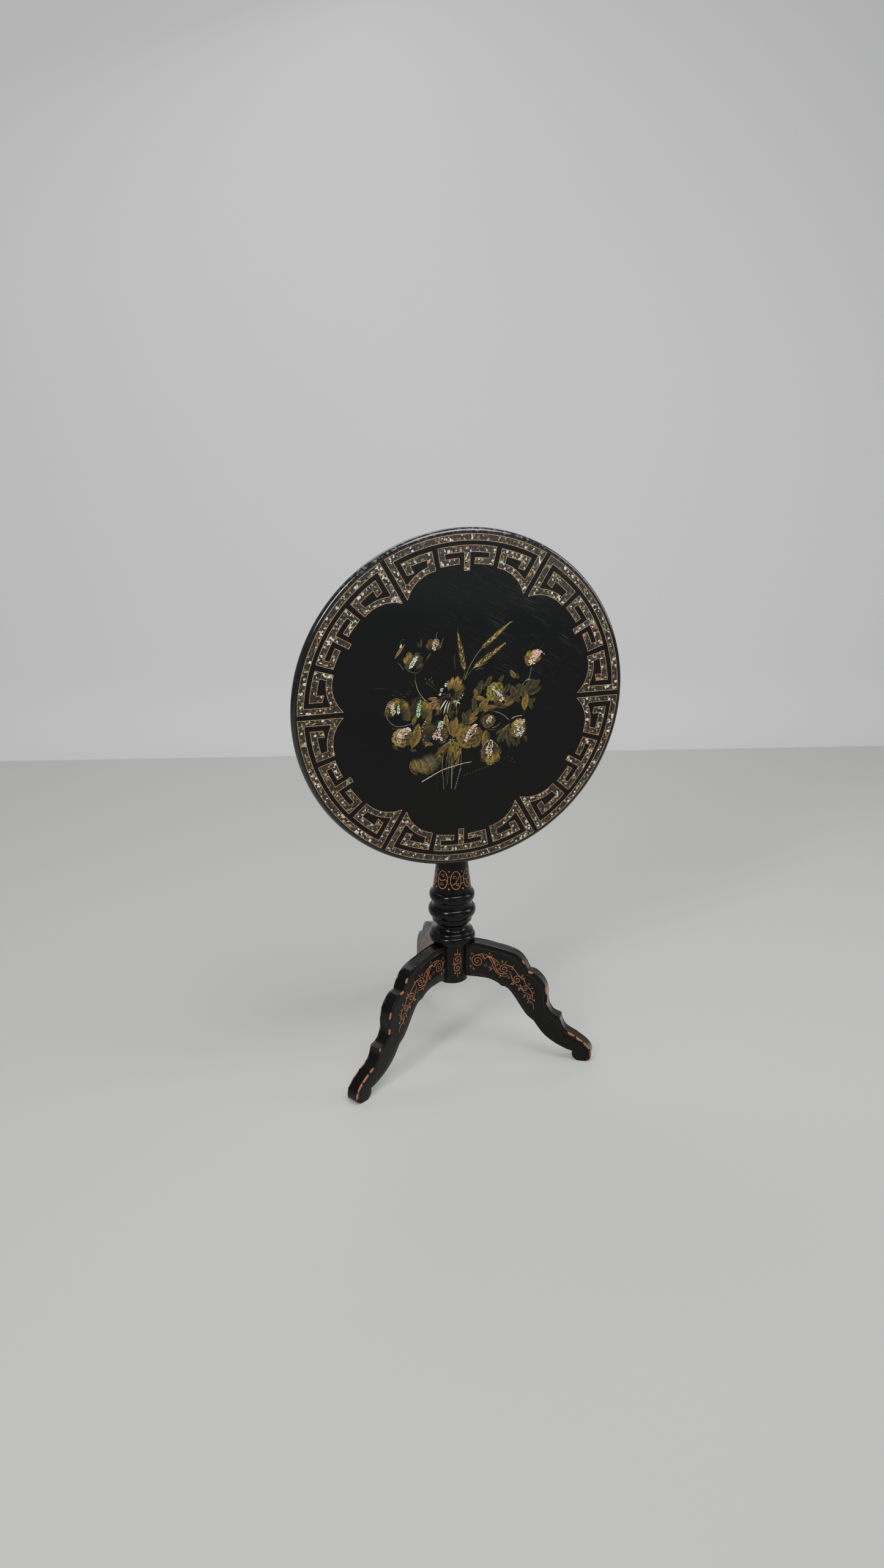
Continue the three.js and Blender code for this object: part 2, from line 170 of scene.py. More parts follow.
class Relief:
    """Low closed shapes laid on a surface: lines, petals, dots and chips, each with its own tint."""

    SECTION = ((-1.0, None), (-1.0, 0.2), (-0.5, 0.8), (0.0, 1.0), (0.5, 0.8), (1.0, 0.2), (1.0, None))

    def __init__(self, place, sink=0.25):
        self.place = place
        self.sink = sink
        self.verts = []
        self.faces = []
        self.tints = []

    def _add(self, points, tints, faces):
        base = len(self.verts)
        self.verts += [self.place(*p) for p in points]
        self.tints += tints
        self.faces += [tuple(base + i for i in face) for face in faces]

    def ribbon(self, path, widths, height, mid, edge=None, closed=False, base=None):
        """A strip along a path. widths is one width, or a function of the share of the way along.
        The tint runs from base, where one is given, to mid and edge."""
        edge = mid if edge is None else edge
        count = len(path)
        points, tints = [], []
        for i, (x, y) in enumerate(path):
            before = path[i - 1] if i > 0 or closed else path[i]
            after = path[(i + 1) % count] if i < count - 1 or closed else path[i]
            one = Vector((x - before[0], y - before[1]))
            two = Vector((after[0] - x, after[1] - y))
            one = one.normalized() if one.length > 1e-9 else two.normalized()
            two = two.normalized() if two.length > 1e-9 else one
            tangent = one + two
            tangent = tangent.normalized() if tangent.length > 1e-6 else two
            stretch = min(1.5, 1 / max(0.5, tangent.dot(two)))
            width = widths(i / (count - 1)) if callable(widths) else widths
            half = width / 2 * stretch
            lift = height if not callable(widths) else height * min(1.0, 0.35 + width)
            for across, up in self.SECTION:
                h = -self.sink if up is None else up * lift
                points.append((x - tangent.y * half * across, y + tangent.x * half * across, h))
                tint = edge if abs(across) > 0.9 else mid
                if base is not None:
                    share = min(1.0, (i / (count - 1)) * 1.25)
                    tint = tuple(b + (c - b) * share * share for b, c in zip(base, tint))
                tints.append(tint)
        n = len(self.SECTION)
        faces = []
        for i in range(count if closed else count - 1):
            a, b = i * n, ((i + 1) % count) * n
            faces += [(a + k, a + (k + 1) % n, b + (k + 1) % n, b + k) for k in range(n)]
        if not closed:
            faces += [tuple(range(n)), tuple((count - 1) * n + k for k in reversed(range(n)))]
        self._add(points, tints, faces)

    def chip(self, outline, height, tint, slope=(0.0, 0.0), inset=0.12):
        """A flat shard with a slightly tipped top."""
        cx = sum(p[0] for p in outline) / len(outline)
        cy = sum(p[1] for p in outline) / len(outline)
        n = len(outline)
        low = [(x, y, -self.sink) for x, y in outline]
        high = []
        for x, y in outline:
            reach = math.hypot(x - cx, y - cy)
            keep = max(0.3, 1 - inset / max(reach, 0.01))
            dx, dy = (x - cx) * keep, (y - cy) * keep
            high.append((cx + dx, cy + dy, max(0.04, height + dx * slope[0] + dy * slope[1])))
        faces = [tuple(reversed(range(n))), tuple(range(n, 2 * n))]
        faces += [(k, (k + 1) % n, n + (k + 1) % n, n + k) for k in range(n)]
        self._add(low + high, [tint] * (2 * n), faces)

    def dot(self, x, y, radius, height, tint, sides=10):
        rings = ((1.0, None), (1.0, 0.2), (0.6, 0.85))
        points = []
        for share, up in rings:
            h = -self.sink if up is None else up * height
            for k in range(sides):
                a = 2 * math.pi * k / sides
                points.append((x + radius * share * math.cos(a), y + radius * share * math.sin(a), h))
        points.append((x, y, height))
        faces = [tuple(reversed(range(sides)))]
        for ring in range(2):
            a, b = ring * sides, (ring + 1) * sides
            faces += [(a + k, a + (k + 1) % sides, b + (k + 1) % sides, b + k) for k in range(sides)]
        top = 3 * sides
        faces += [(2 * sides + k, 2 * sides + (k + 1) % sides, top) for k in range(sides)]
        self._add(points, [tint] * len(points), faces)

    def take_in(self, other):
        """Adds another relief's shapes to this one."""
        base = len(self.verts)
        self.verts += other.verts
        self.tints += other.tints
        self.faces += [tuple(base + i for i in face) for face in other.faces]

    def build(self, name, placement, body, material):
        return build(name, self.verts, self.faces, placement, body, material, self.tints, sharp=50)


def lathe(profile, segments):
    """A turned solid about Z from [radius, height] pairs, from the axis up to the axis."""
    verts, faces, rows = [], [], []
    for radius, height in profile:
        if radius < 1e-6:
            rows.append([len(verts)] * segments)
            verts.append((0.0, 0.0, height))
            continue
        rows.append(list(range(len(verts), len(verts) + segments)))
        for k in range(segments):
            a = 2 * math.pi * k / segments
            verts.append((radius * math.cos(a), radius * math.sin(a), height))
    for low, high in zip(rows, rows[1:]):
        for k in range(segments):
            ring = [low[k], low[(k + 1) % segments], high[(k + 1) % segments], high[k]]
            face = [v for i, v in enumerate(ring) if v != ring[i - 1]]
            faces.append(tuple(face))
    return verts, faces


def swelling(low, high, radius, steps=12):
    """A rounded moulding between two [radius, height] pairs."""
    centre = (low[1] + high[1]) / 2
    rise = (high[1] - low[1]) / 2
    pairs = []
    for i in range(steps + 1):
        a = -math.pi / 2 + math.pi * i / steps
        base = low[0] if a < 0 else high[0]
        pairs.append((base + (radius - base) * math.cos(a), centre + rise * math.sin(a)))
    return pairs


# ---------------------------------------------------------------- materials


def put(tree, kind, inputs=None, **attributes):
    """A new node, with its inputs set or linked."""
    made = tree.nodes.new(kind)
    for key, value in attributes.items():
        setattr(made, key, value)
    for key, value in (inputs or {}).items():
        if isinstance(value, bpy.types.NodeSocket):
            tree.links.new(value, made.inputs[key])
        else:
            made.inputs[key].default_value = value
    return made


def paint(name):
    """A new material: itself, its node tree, its shader and its object coordinates."""
    material = bpy.data.materials.new(name)
    material.use_nodes = True
    tree = material.node_tree
    where = put(tree, "ShaderNodeTexCoord").outputs["Object"]
    return material, tree, tree.nodes["Principled BSDF"], where


def moved(tree, where, scale=(1, 1, 1), turn=(0, 0, 0), shift=(0, 0, 0)):
    inputs = {"Vector": where, "Scale": scale, "Rotation": turn, "Location": shift}
    return put(tree, "ShaderNodeMapping", inputs).outputs["Vector"]


def noise(tree, where, scale, detail=4.0, roughness=0.55, distortion=0.0):
    inputs = {"Vector": where, "Scale": scale, "Detail": detail, "Roughness": roughness,
              "Distortion": distortion}
    return put(tree, "ShaderNodeTexNoise", inputs).outputs["Fac"]


def ramp(tree, value, *stops):
    """A grey or colour ramp through (place, value) or (place, colour) stops."""
    made = put(tree, "ShaderNodeValToRGB", {"Fac": value})
    band = made.color_ramp
    for i, (place, colour) in enumerate(stops):
        element = band.elements[i] if i < 2 else band.elements.new(place)
        element.position = place
        colour = (colour,) * 3 if isinstance(colour, (int, float)) else tuple(colour)
        element.color = (*colour, 1.0)
    return made.outputs["Color"]


def blend(tree, share, one, two, mode="MIX"):
    made = put(tree, "ShaderNodeMix", data_type="RGBA", blend_type=mode)
    for index, value in ((0, share), (6, one), (7, two)):
        if isinstance(value, bpy.types.NodeSocket):
            tree.links.new(value, made.inputs[index])
        elif index:
            made.inputs[index].default_value = (*value, 1.0)
        else:
            made.inputs[index].default_value = value
    return made.outputs[2]


def maths(tree, operation, one, two=0.0, clamp=False):
    return put(tree, "ShaderNodeMath", {0: one, 1: two}, operation=operation, use_clamp=clamp).outputs[0]


def bump(tree, shader, height, strength, distance):
    made = put(tree, "ShaderNodeBump", {"Height": height, "Strength": strength, "Distance": distance})
    tree.links.new(made.outputs["Normal"], shader.inputs["Normal"])


def connect(tree, shader, **sockets):
    for name, socket in sockets.items():
        tree.links.new(socket, shader.inputs[name.replace("_", " ")])


def black_top(colours):
    """Black gloss for the face and rim, with fine hair scratches and a scuffed upper rim."""
    material, tree, shader, where = paint("black_lacquer_top")
    split = put(tree, "ShaderNodeSeparateXYZ", {"Vector": where})
    flat = put(tree, "ShaderNodeCombineXYZ", {"X": split.outputs["X"], "Y": split.outputs["Y"], "Z": 0.0})
    length = put(tree, "ShaderNodeVectorMath", {0: flat.outputs[0]}, operation="LENGTH")
    radius = length.outputs["Value"]
    cloud = noise(tree, where, 9.0, 5.0, 0.6)
    fine = noise(tree, where, 420.0, 3.0, 0.6)
    ground = blend(tree, cloud, tuple(colours.lacquer), tuple(c * 1.9 for c in colours.lacquer))

    # long hair scratches that fall to the right, thickest in the upper right
    steep = moved(tree, where, turn=(0, 0, math.radians(31)))
    hairs = noise(tree, moved(tree, steep, (4.5, 170, 1)), 3.0, 3.0, 0.6, 0.5)
    hairs = ramp(tree, hairs, (0.60, 0.0), (0.67, 1.0))
    shallow = moved(tree, where, turn=(0, 0, math.radians(19)))
    others = noise(tree, moved(tree, shallow, (3.4, 240, 1)), 4.0, 2.0, 0.6, 0.4)
    others = ramp(tree, others, (0.61, 0.0), (0.69, 1.0))
    hairs = maths(tree, "MAXIMUM", hairs, others)
    patch = put(tree, "ShaderNodeVectorMath", {0: where, 1: (0.10, 0.135, 0.0)}, operation="DISTANCE")
    patch = ramp(tree, patch.outputs["Value"], (0.05, 1.0), (0.19, 0.08))
    broken = ramp(tree, noise(tree, where, 26.0, 4.0, 0.7), (0.42, 0.0), (0.62, 1.0))
    hairs = maths(tree, "MULTIPLY", maths(tree, "MULTIPLY", hairs, patch), broken)
    ground = blend(tree, maths(tree, "MULTIPLY", hairs, 0.42), ground, (0.070, 0.074, 0.072))

    # specks of dust and small dents
    speck = put(tree, "ShaderNodeTexVoronoi", {"Vector": where, "Scale": 75.0, "Randomness": 1.0})
    speck = ramp(tree, speck.outputs["Distance"], (0.02, 1.0), (0.045, 0.0))
    rare = ramp(tree, noise(tree, where, 16.0, 2.0, 0.5), (0.60, 0.0), (0.66, 1.0))
    ground = blend(tree, maths(tree, "MULTIPLY", speck, maths(tree, "MULTIPLY", rare, 0.5)), ground,
                   (0.16, 0.15, 0.13))

    # the rim is rubbed grey at the top of the table, less so elsewhere
    at_rim = ramp(tree, radius, (0.2915, 0.0), (0.2955, 1.0))
    upper = ramp(tree, split.outputs["Y"], (0.15, 0.10), (0.285, 1.0))
    rub = noise(tree, where, 150.0, 8.0, 0.75)
    rub = ramp(tree, rub, (0.50, 0.0), (0.66, 1.0))
    rub = maths(tree, "MULTIPLY", maths(tree, "MULTIPLY", rub, at_rim), upper)
    ground = blend(tree, maths(tree, "MULTIPLY", rub, 0.38), ground, tuple(colours.scuff))

    smudge = noise(tree, where, 5.0, 6.0, 0.62)
    rough = ramp(tree, smudge, (0.30, 0.22), (0.72, 0.40))
    rough = blend(tree, at_rim, rough, (0.13, 0.13, 0.13))
    rough = blend(tree, maths(tree, "MAXIMUM", hairs, rub), rough, (0.6, 0.6, 0.6))
    shine = maths(tree, "ADD", maths(tree, "MULTIPLY", at_rim, 0.4), 0.1)
    connect(tree, shader, Base_Color=ground, Roughness=rough, Specular_IOR_Level=shine)
    shader.inputs["Coat Weight"].default_value = 0.12
    shader.inputs["Coat Roughness"].default_value = 0.1
    height = maths(tree, "ADD", maths(tree, "MULTIPLY", fine, 0.2), maths(tree, "MULTIPLY", hairs, -0.6))
    bump(tree, shader, maths(tree, "SUBTRACT", height, rub), 0.12, 0.0006)
    return material


def black_under(colours):
    """The dull brown-black paint of the underside, with the brush still showing."""
    material, tree, shader, where = paint("black_paint_under")
    strokes = noise(tree, moved(tree, where, (4, 90, 4)), 2.0, 6.0, 0.6)
    patches = noise(tree, where, 14.0, 4.0, 0.6)
    tone = blend(tree, strokes, tuple(c * 1.3 for c in colours.lacquer), (0.045, 0.032, 0.022))
    tone = blend(tree, ramp(tree, patches, (0.6, 0.0), (0.78, 0.6)), tone, (0.075, 0.048, 0.028))
    rough = ramp(tree, strokes, (0.3, 0.55), (0.7, 0.75))
    connect(tree, shader, Base_Color=tone, Roughness=rough)
    bump(tree, shader, strokes, 0.25, 0.0008)
    return material


def black_stand(colours):
    """Black lacquer over wood for the pillar and legs, rubbed through to copper brown where wear says so."""
    material, tree, shader, where = paint("black_lacquer_stand")
    cloud = noise(tree, where, 22.0, 5.0, 0.6)
    ground = blend(tree, cloud, tuple(c * 0.8 for c in colours.lacquer),
                   tuple(c * 2.2 for c in colours.lacquer))
    wear = put(tree, "ShaderNodeAttribute", attribute_name="wear", attribute_type="GEOMETRY").outputs["Fac"]
    broken = noise(tree, where, 130.0, 7.0, 0.72)
    coarse = noise(tree, where, 26.0, 3.0, 0.6)
    amount = maths(tree, "ADD", maths(tree, "MULTIPLY", broken, 0.55),
                   maths(tree, "MULTIPLY", coarse, 0.35))
    amount = maths(tree, "ADD", amount, maths(tree, "MULTIPLY", wear, 0.7))
    amount = ramp(tree, amount, (0.98, 0.0), (1.12, 1.0))
    under = blend(tree, broken, (0.09, 0.034, 0.015), (0.40, 0.17, 0.085))
    tone = blend(tree, amount, ground, under)
    scratch = noise(tree, moved(tree, where, (1, 1, 14), (0.4, 0.3, 0)), 70.0, 3.0, 0.6)
    scratch = ramp(tree, scratch, (0.66, 0.0), (0.72, 1.0))
    tone = blend(tree, maths(tree, "MULTIPLY", scratch, 0.12), tone, (0.2, 0.17, 0.14))
    rough = ramp(tree, cloud, (0.3, 0.14), (0.75, 0.27))
    rough = blend(tree, amount, rough, (0.5, 0.5, 0.5))
    connect(tree, shader, Base_Color=tone, Roughness=rough)
    shader.inputs["Specular IOR Level"].default_value = 0.17
    ripple = maths(tree, "ADD", maths(tree, "MULTIPLY", coarse, 0.7), maths(tree, "MULTIPLY", amount, -0.3))
    bump(tree, shader, ripple, 0.18, 0.001)
    return material


def tinted(name, roughness, metal, grain):
    """A finish whose colour comes from each shape's own tint, broken up by streaks and specks."""
    material, tree, shader, where = paint(name)
    tint = put(tree, "ShaderNodeAttribute", attribute_name="tint",
               attribute_type="GEOMETRY").outputs["Color"]
    streak = noise(tree, where, grain, 5.0, 0.62, 0.5)
    dark = blend(tree, ramp(tree, streak, (0.34, 0.5), (0.6, 0.0)), tint, (0.0, 0.0, 0.0))
    light = blend(tree, ramp(tree, streak, (0.5, 0.0), (0.8, 0.5)), dark, tint, "ADD")
    rough = ramp(tree, streak, (0.2, roughness * 1.25), (0.8, roughness * 0.8))
    connect(tree, shader, Base_Color=light, Roughness=rough)
    shader.inputs["Metallic"].default_value = metal
    shader.inputs["Specular IOR Level"].default_value = 0.3
    bump(tree, shader, streak, 0.25, 0.0003)
    return material


def pearl(name):
    """Mother of pearl: each chip's own tint, with bands that shift between rose and green."""
    material, tree, shader, where = paint(name)
    tint = put(tree, "ShaderNodeAttribute", attribute_name="tint",
               attribute_type="GEOMETRY").outputs["Color"]
    band = noise(tree, moved(tree, where, (1.0, 2.2, 1.0), (0, 0, 0.6)), 190.0, 3.0, 0.6, 1.6)
    rose = ramp(tree, band, (0.36, (0.95, 0.62, 0.58)), (0.5, (1.0, 1.0, 1.0)), (0.64, (0.62, 0.95, 0.72)))
    tone = blend(tree, 0.55, tint, rose, "MULTIPLY")
    cloud = noise(tree, where, 700.0, 3.0, 0.6)
    tone = blend(tree, ramp(tree, cloud, (0.56, 0.0), (0.74, 0.35)), tone, (0.02, 0.02, 0.015))
    connect(tree, shader, Base_Color=tone, Roughness=ramp(tree, band, (0.3, 0.16), (0.7, 0.32)))
    shader.inputs["Coat Weight"].default_value = 0.15
    shader.inputs["Coat Roughness"].default_value = 0.08
    bump(tree, shader, cloud, 0.1, 0.0003)
    return material


def plain_wood(name, colour, along):
    """Bare stained wood with its grain along one axis."""
    material, tree, shader, where = paint(name)
    scale = [60.0, 60.0, 60.0]
    scale["XYZ".index(along)] = 3.0
    rings = noise(tree, moved(tree, where, scale), 1.0, 6.0, 0.62, 1.4)
    pores = noise(tree, moved(tree, where, [s * 9 for s in scale]), 1.0, 3.0, 0.6)
    tone = ramp(tree, rings, (0.3, tuple(c * 0.5 for c in colour)), (0.5, tuple(colour)),
                (0.72, tuple(min(1, c * 1.6) for c in colour)))
    tone = blend(tree, ramp(tree, pores, (0.6, 0.0), (0.7, 0.5)), tone, tuple(c * 0.25 for c in colour))
    grime = noise(tree, where, 30.0, 4.0, 0.6)
    tone = blend(tree, ramp(tree, grime, (0.55, 0.0), (0.75, 0.5)), tone, (0.02, 0.014, 0.01))
    connect(tree, shader, Base_Color=tone, Roughness=ramp(tree, rings, (0.3, 0.62), (0.7, 0.46)))
    bump(tree, shader, pores, 0.3, 0.0006)
    return material


def metal(name, bright, dull, roughness):
    """Old metal, brighter where it is handled and dull or spotted elsewhere."""
    material, tree, shader, where = paint(name)
    cloud = noise(tree, where, 120.0, 6.0, 0.66)
    spots = noise(tree, where, 520.0, 4.0, 0.7)
    tone = blend(tree, ramp(tree, cloud, (0.38, 0.0), (0.66, 1.0)), bright, dull)
    tone = blend(tree, ramp(tree, spots, (0.62, 0.0), (0.72, 0.8)), tone, tuple(c * 0.3 for c in dull))
    rough = ramp(tree, cloud, (0.3, roughness * 0.75), (0.7, roughness * 1.5))
    connect(tree, shader, Base_Color=tone, Roughness=rough)
    shader.inputs["Metallic"].default_value = 1.0
    bump(tree, shader, spots, 0.2, 0.0003)
    return material


def finish_node(name, material, bevel=0.0):
    """Gives a carried-over node its better material, and softens its edges."""
    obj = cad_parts[name]
    obj.data.materials.clear()
    obj.data.materials.append(material)
    if bevel > 0:
        soft = obj.modifiers.new("softened_edges", "BEVEL")
        soft.width = bevel * MM
        soft.segments = 2
        soft.limit_method = "ANGLE"
        soft.angle_limit = math.radians(50)
        soft.harden_normals = False


# ---------------------------------------------------------------- settings


def length_setting(name, description, default, low, high):
    return FloatProperty(name=name, description=description, default=default * MM, min=low * MM,
                         max=high * MM, subtype="DISTANCE", unit="LENGTH", precision=4)


def colour_setting(name, description, default):
    return FloatVectorProperty(name=name, description=description, default=default, size=3, min=0, max=1,
                               subtype="COLOR")


class TABLE_PG_top(bpy.types.PropertyGroup):
    radius: length_setting("Radius", "Radius of the top at the widest part of its rim", 300.5, 250, 350)
    thickness: length_setting("Thickness", "Thickness of the top", 18, 10, 30)
    rim: length_setting("Rim", "How far the rounded rim stands past the flat face", 7, 2, 12)
    line: length_setting("Gold Line", "Width of the gold lines round the border", 1.0, 0.4, 2)
    chip: length_setting("Chip Size", "Usual distance between two pearl chips", 2.9, 1.5, 8)
    seed: IntProperty(name="Seed", description="Picks the pattern of the chips and petals", default=11)


class TABLE_PG_stand(bpy.types.PropertyGroup):
    segments: IntProperty(name="Segments", description="Facets round the pillar", default=144, min=32)
    hub_radius: length_setting("Hub Radius", "Radius of the hub that the legs join", 31.6, 25, 40)
    leg_thickness: length_setting("Leg Thickness", "Thickness of a leg across its side", 26, 18, 34)
    scroll_line: length_setting("Scroll Line", "Width of the painted scrolls at their widest", 0.95, 0.5, 3)


class TABLE_PG_colours(bpy.types.PropertyGroup):
    lacquer: colour_setting("Lacquer", "Black ground of the top and stand", (0.0026, 0.0028, 0.0024))
    scuff: colour_setting("Scuff", "Where the rim is rubbed", (0.30, 0.29, 0.27))
    gilt: colour_setting("Gilt", "The gold lines of the border", (0.36, 0.21, 0.118))
    copper: colour_setting("Copper", "The scrolls on the pillar and legs", (0.54, 0.22, 0.092))
    wood: colour_setting("Bare Wood", "Bearers and block under the top", (0.16, 0.075, 0.032))


class TABLE_PG_stage(bpy.types.PropertyGroup):
    floor: colour_setting("Floor", "Colour of the floor", (0.54, 0.535, 0.52))
    wall: colour_setting("Wall", "Colour of the backdrop", (0.80, 0.80, 0.79))
    key: FloatProperty(name="Window Light", description="Power of the bright light at the left", default=75,
                       min=0)
    fill: FloatProperty(name="Ceiling Light", description="Power of the broad light above", default=70,
                        min=0)
    sky: FloatProperty(name="Surroundings", description="Strength of the light from all round",
                       default=0.33, min=0)


# ---------------------------------------------------------------- top


class TABLE_OT_top(bpy.types.Operator):
    """Builds the round lacquered top"""

    bl_idname = "table.top"
    bl_label = "Top"

    def execute(self, context):
        s = context.scene.table_top
        colours = context.scene.table_colours
        radius, thick, rim = s.radius / MM, s.thickness / MM, s.rim / MM
        flat = radius - rim
        profile = [(0, -thick)] + [(r, -thick) for r in (60, 130, 200, 250, flat - 6)]
        profile += swelling((flat, -thick), (flat, 0), radius, 18)
        profile += [(r, 0) for r in (flat - 4, 250, 190, 120, 60)] + [(0, 0)]
        verts, faces = lathe(profile, 320)
        obj = build("top_disc", verts, faces, face_placement(), "top", black_top(colours), sharp=60)
        obj.data.materials.append(black_under(colours))
        for polygon in obj.data.polygons:
            if polygon.normal.z < -0.9:
                polygon.material_index = 1
        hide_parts("table_top")
        return {"FINISHED"}


# ---------------------------------------------------------------- border


GAP_SIDE = 30.0  # half the angle of one sixth of the border


def beside_gap(distance, radius):
    """The point at that radius whose distance from the gap's middle line is as given."""
    a = math.radians(GAP_SIDE) - math.asin(distance / radius)
    return (radius * math.sin(a), radius * math.cos(a))


def on_ring(radius, degrees):
    a = math.radians(degrees)
    return (radius * math.sin(a), radius * math.cos(a))


def ring_run(radius, start, end, step=3.0):
    """Along a ring, between two angles counted from the sector's middle line."""
    return arc(0, 0, radius, 90 - start, 90 - end, step)


def gap_angle(distance, radius):
    return GAP_SIDE - math.degrees(math.asin(distance / radius))


def straight(one, two, step=3.0):
    return spline([one, two], step)


def joined(*runs):
    """Runs end to end, without the points where they meet being doubled."""
    path = []
    for run in runs:
        for point in run:
            if not path or math.dist(path[-1], point) > 0.05:
                path.append(point)
    return path


LOBE = (41.4, 171.25)


def lobe_run(radius, start, end):
    return arc(*LOBE, radius, start, end)


def great_key():
    """Outline of the large meander piece that fills one sixth: its right half, then the mirrored left."""
    outer, inner = 290.6, 280.3
    half = joined(
        ring_run(outer, 0, gap_angle(4.7, outer)),
        straight(beside_gap(4.7, outer), (102.2, 187.2)),
        lobe_run(62.6, 15.0, 78.0),
        straight(on_ring(239.5, 13.1), on_ring(271, 13.1)),
        ring_run(271, 13.1, gap_angle(24.8, 271)),
        straight(beside_gap(24.8, 271), beside_gap(24.8, 249)),
        straight(beside_gap(24.8, 249), beside_gap(36, 248)),
        straight(beside_gap(36, 248), beside_gap(36, 260.5)),
        ring_run(260.5, gap_angle(36, 260.5), 15.5),
        straight(on_ring(260.5, 15.5), on_ring(246.5, 15.7)),
        lobe_run(72.2, 69.5, 34.5),
        straight(beside_gap(14.9, 236.0), beside_gap(14.9, inner)),
        ring_run(inner, gap_angle(14.9, inner), 0),
    )
    left = [(-x, y) for x, y in reversed(half)]
    return joined(half, left)[:-1]


def small_key():
    """Outline of the middle piece, with a stem between two hooks."""
    outer, inner = 272.2, 261.5
    half = joined(
        ring_run(outer, 0, 10.9),
        straight(on_ring(outer, 10.9), on_ring(242, 10.9)),
        ring_run(242, 10.9, 3.2),
        straight(on_ring(242, 3.2), on_ring(251.8, 3.2)),
        ring_run(251.8, 3.2, 8.7),
        straight(on_ring(251.8, 8.7), on_ring(inner, 8.7)),
        ring_run(inner, 8.7, math.degrees(math.asin(4.65 / inner))),
        straight((4.65, inner - 0.1), (4.65, 231)),
        straight((4.65, 231), (0, 231)),
    )
    left = [(-x, y) for x, y in reversed(half)]
    return joined(half, left)[:-1]


def clipped(polygon, point, normal):
    """The part of a convex polygon behind the line through a point."""
    kept = []
    count = len(polygon)
    for i in range(count):
        a, b = polygon[i], polygon[(i + 1) % count]
        da = (a[0] - point[0]) * normal[0] + (a[1] - point[1]) * normal[1]
        db = (b[0] - point[0]) * normal[0] + (b[1] - point[1]) * normal[1]
        if da <= 0:
            kept.append(a)
        if da * db < 0:
            t = da / (da - db)
            kept.append((a[0] + (b[0] - a[0]) * t, a[1] + (b[1] - a[1]) * t))
    return kept


def area_of(polygon):
    total = 0.0
    for (ax, ay), (bx, by) in zip(polygon, polygon[1:] + polygon[:1]):
        total += ax * by - bx * ay
    return abs(total) / 2


def shards(outline, spacing, margin, rng):
    """Broken chips that fill an outline: cells about scattered points, kept off each other and the edge."""
    a = np.array(outline)
    b = np.roll(a, -1, axis=0)
    low, high = a.min(0), a.max(0)
    count = int((high[0] - low[0]) * (high[1] - low[1]) * 1.6)
    tries = np.array([[rng.uniform(low[0], high[0]), rng.uniform(low[1], high[1])] for _ in range(count)])
    crossing = (a[None, :, 1] > tries[:, None, 1]) != (b[None, :, 1] > tries[:, None, 1])
    with np.errstate(divide="ignore", invalid="ignore"):
        where = (b - a)[None, :, 0] * (tries[:, None, 1] - a[None, :, 1]) / (b - a)[None, :, 1] + a[None, :,
                                                                                                    0]
    inside = (crossing & (tries[:, None, 0] < where)).sum(1) % 2 == 1
    tries = tries[inside]
    along = b - a
    t = ((tries[:, None] - a[None]) * along[None]).sum(2) / (along**2).sum(1)[None]
    nearest = a[None] + np.clip(t, 0, 1)[..., None] * along[None]
    gap = np.linalg.norm(tries[:, None] - nearest, axis=2)
    keep = gap.min(1) > margin + 0.75
    tries, nearest, gap = tries[keep], nearest[keep], gap[keep]
    chosen, sizes = [], []
    for i, point in enumerate(tries):
        size = spacing * rng.choice((0.75, 0.9, 1.0, 1.25, 1.6))
        if chosen:
            apart = np.linalg.norm(tries[chosen] - point, axis=1)
            if (apart < (np.array(sizes) + size) / 2).any():
                continue
        chosen.append(i)
        sizes.append(size)
    seeds = tries[chosen]
    pieces = []
    for k, i in enumerate(chosen):
        x, y = tries[i]
        reach = spacing * 1.15
        cell = [(x - reach, y - reach), (x + reach, y - reach), (x + reach, y + reach),
                (x - reach, y + reach)]
        apart = np.linalg.norm(seeds - seeds[k], axis=1)
        for j in np.argsort(apart)[1:12]:
            if apart[j] > reach * 2.6:
                break
            n = (seeds[j] - seeds[k]) / apart[j]
            half = apart[j] / 2 - 0.16
            cell = clipped(cell, (x + n[0] * half, y + n[1] * half), n)
        for j in np.nonzero(gap[i] < reach * 1.5 + margin)[0]:
            n = (nearest[i, j] - tries[i]) / gap[i, j]
            edge = nearest[i, j] - n * margin
            cell = clipped(cell, edge, n)
        if len(cell) < 3 or area_of(cell) < 1.2:
            continue
        if rng.random() < 0.55 and area_of(cell) > 4.5:
            turn = rng.uniform(0, math.pi)
            n = (math.cos(turn), math.sin(turn))
            cx = sum(p[0] for p in cell) / len(cell) + rng.uniform(-0.5, 0.5)
            cy = sum(p[1] for p in cell) / len(cell) + rng.uniform(-0.5, 0.5)
            parts = [clipped(cell, (cx - n[0] * 0.16, cy - n[1] * 0.16), n),
                     clipped(cell, (cx + n[0] * 0.16, cy + n[1] * 0.16), (-n[0], -n[1]))]
        else:
            parts = [cell]
        pieces += [p for p in parts if len(p) >= 3 and area_of(p) > 0.9]
    return pieces


PEARL_TINTS = (
    (0.006, 0.006, 0.004), (0.014, 0.012, 0.007), (0.030, 0.022, 0.012), (0.018, 0.020, 0.011),
    (0.055, 0.036, 0.018), (0.19, 0.12, 0.045), (0.27, 0.16, 0.075), (0.13, 0.105, 0.035),
    (0.080, 0.070, 0.026), (0.36, 0.18, 0.10), (0.98, 0.98, 0.88), (0.66, 0.62, 0.42), (0.30, 0.55, 0.24),
    (0.56, 0.28, 0.20), (0.24, 0.30, 0.32), (0.60, 0.42, 0.17), (0.09, 0.19, 0.11),
)
PEARL_SHARES = (26, 24, 16, 12, 9, 5, 4, 6, 6, 2, 6, 2, 2, 1, 1, 2, 2)


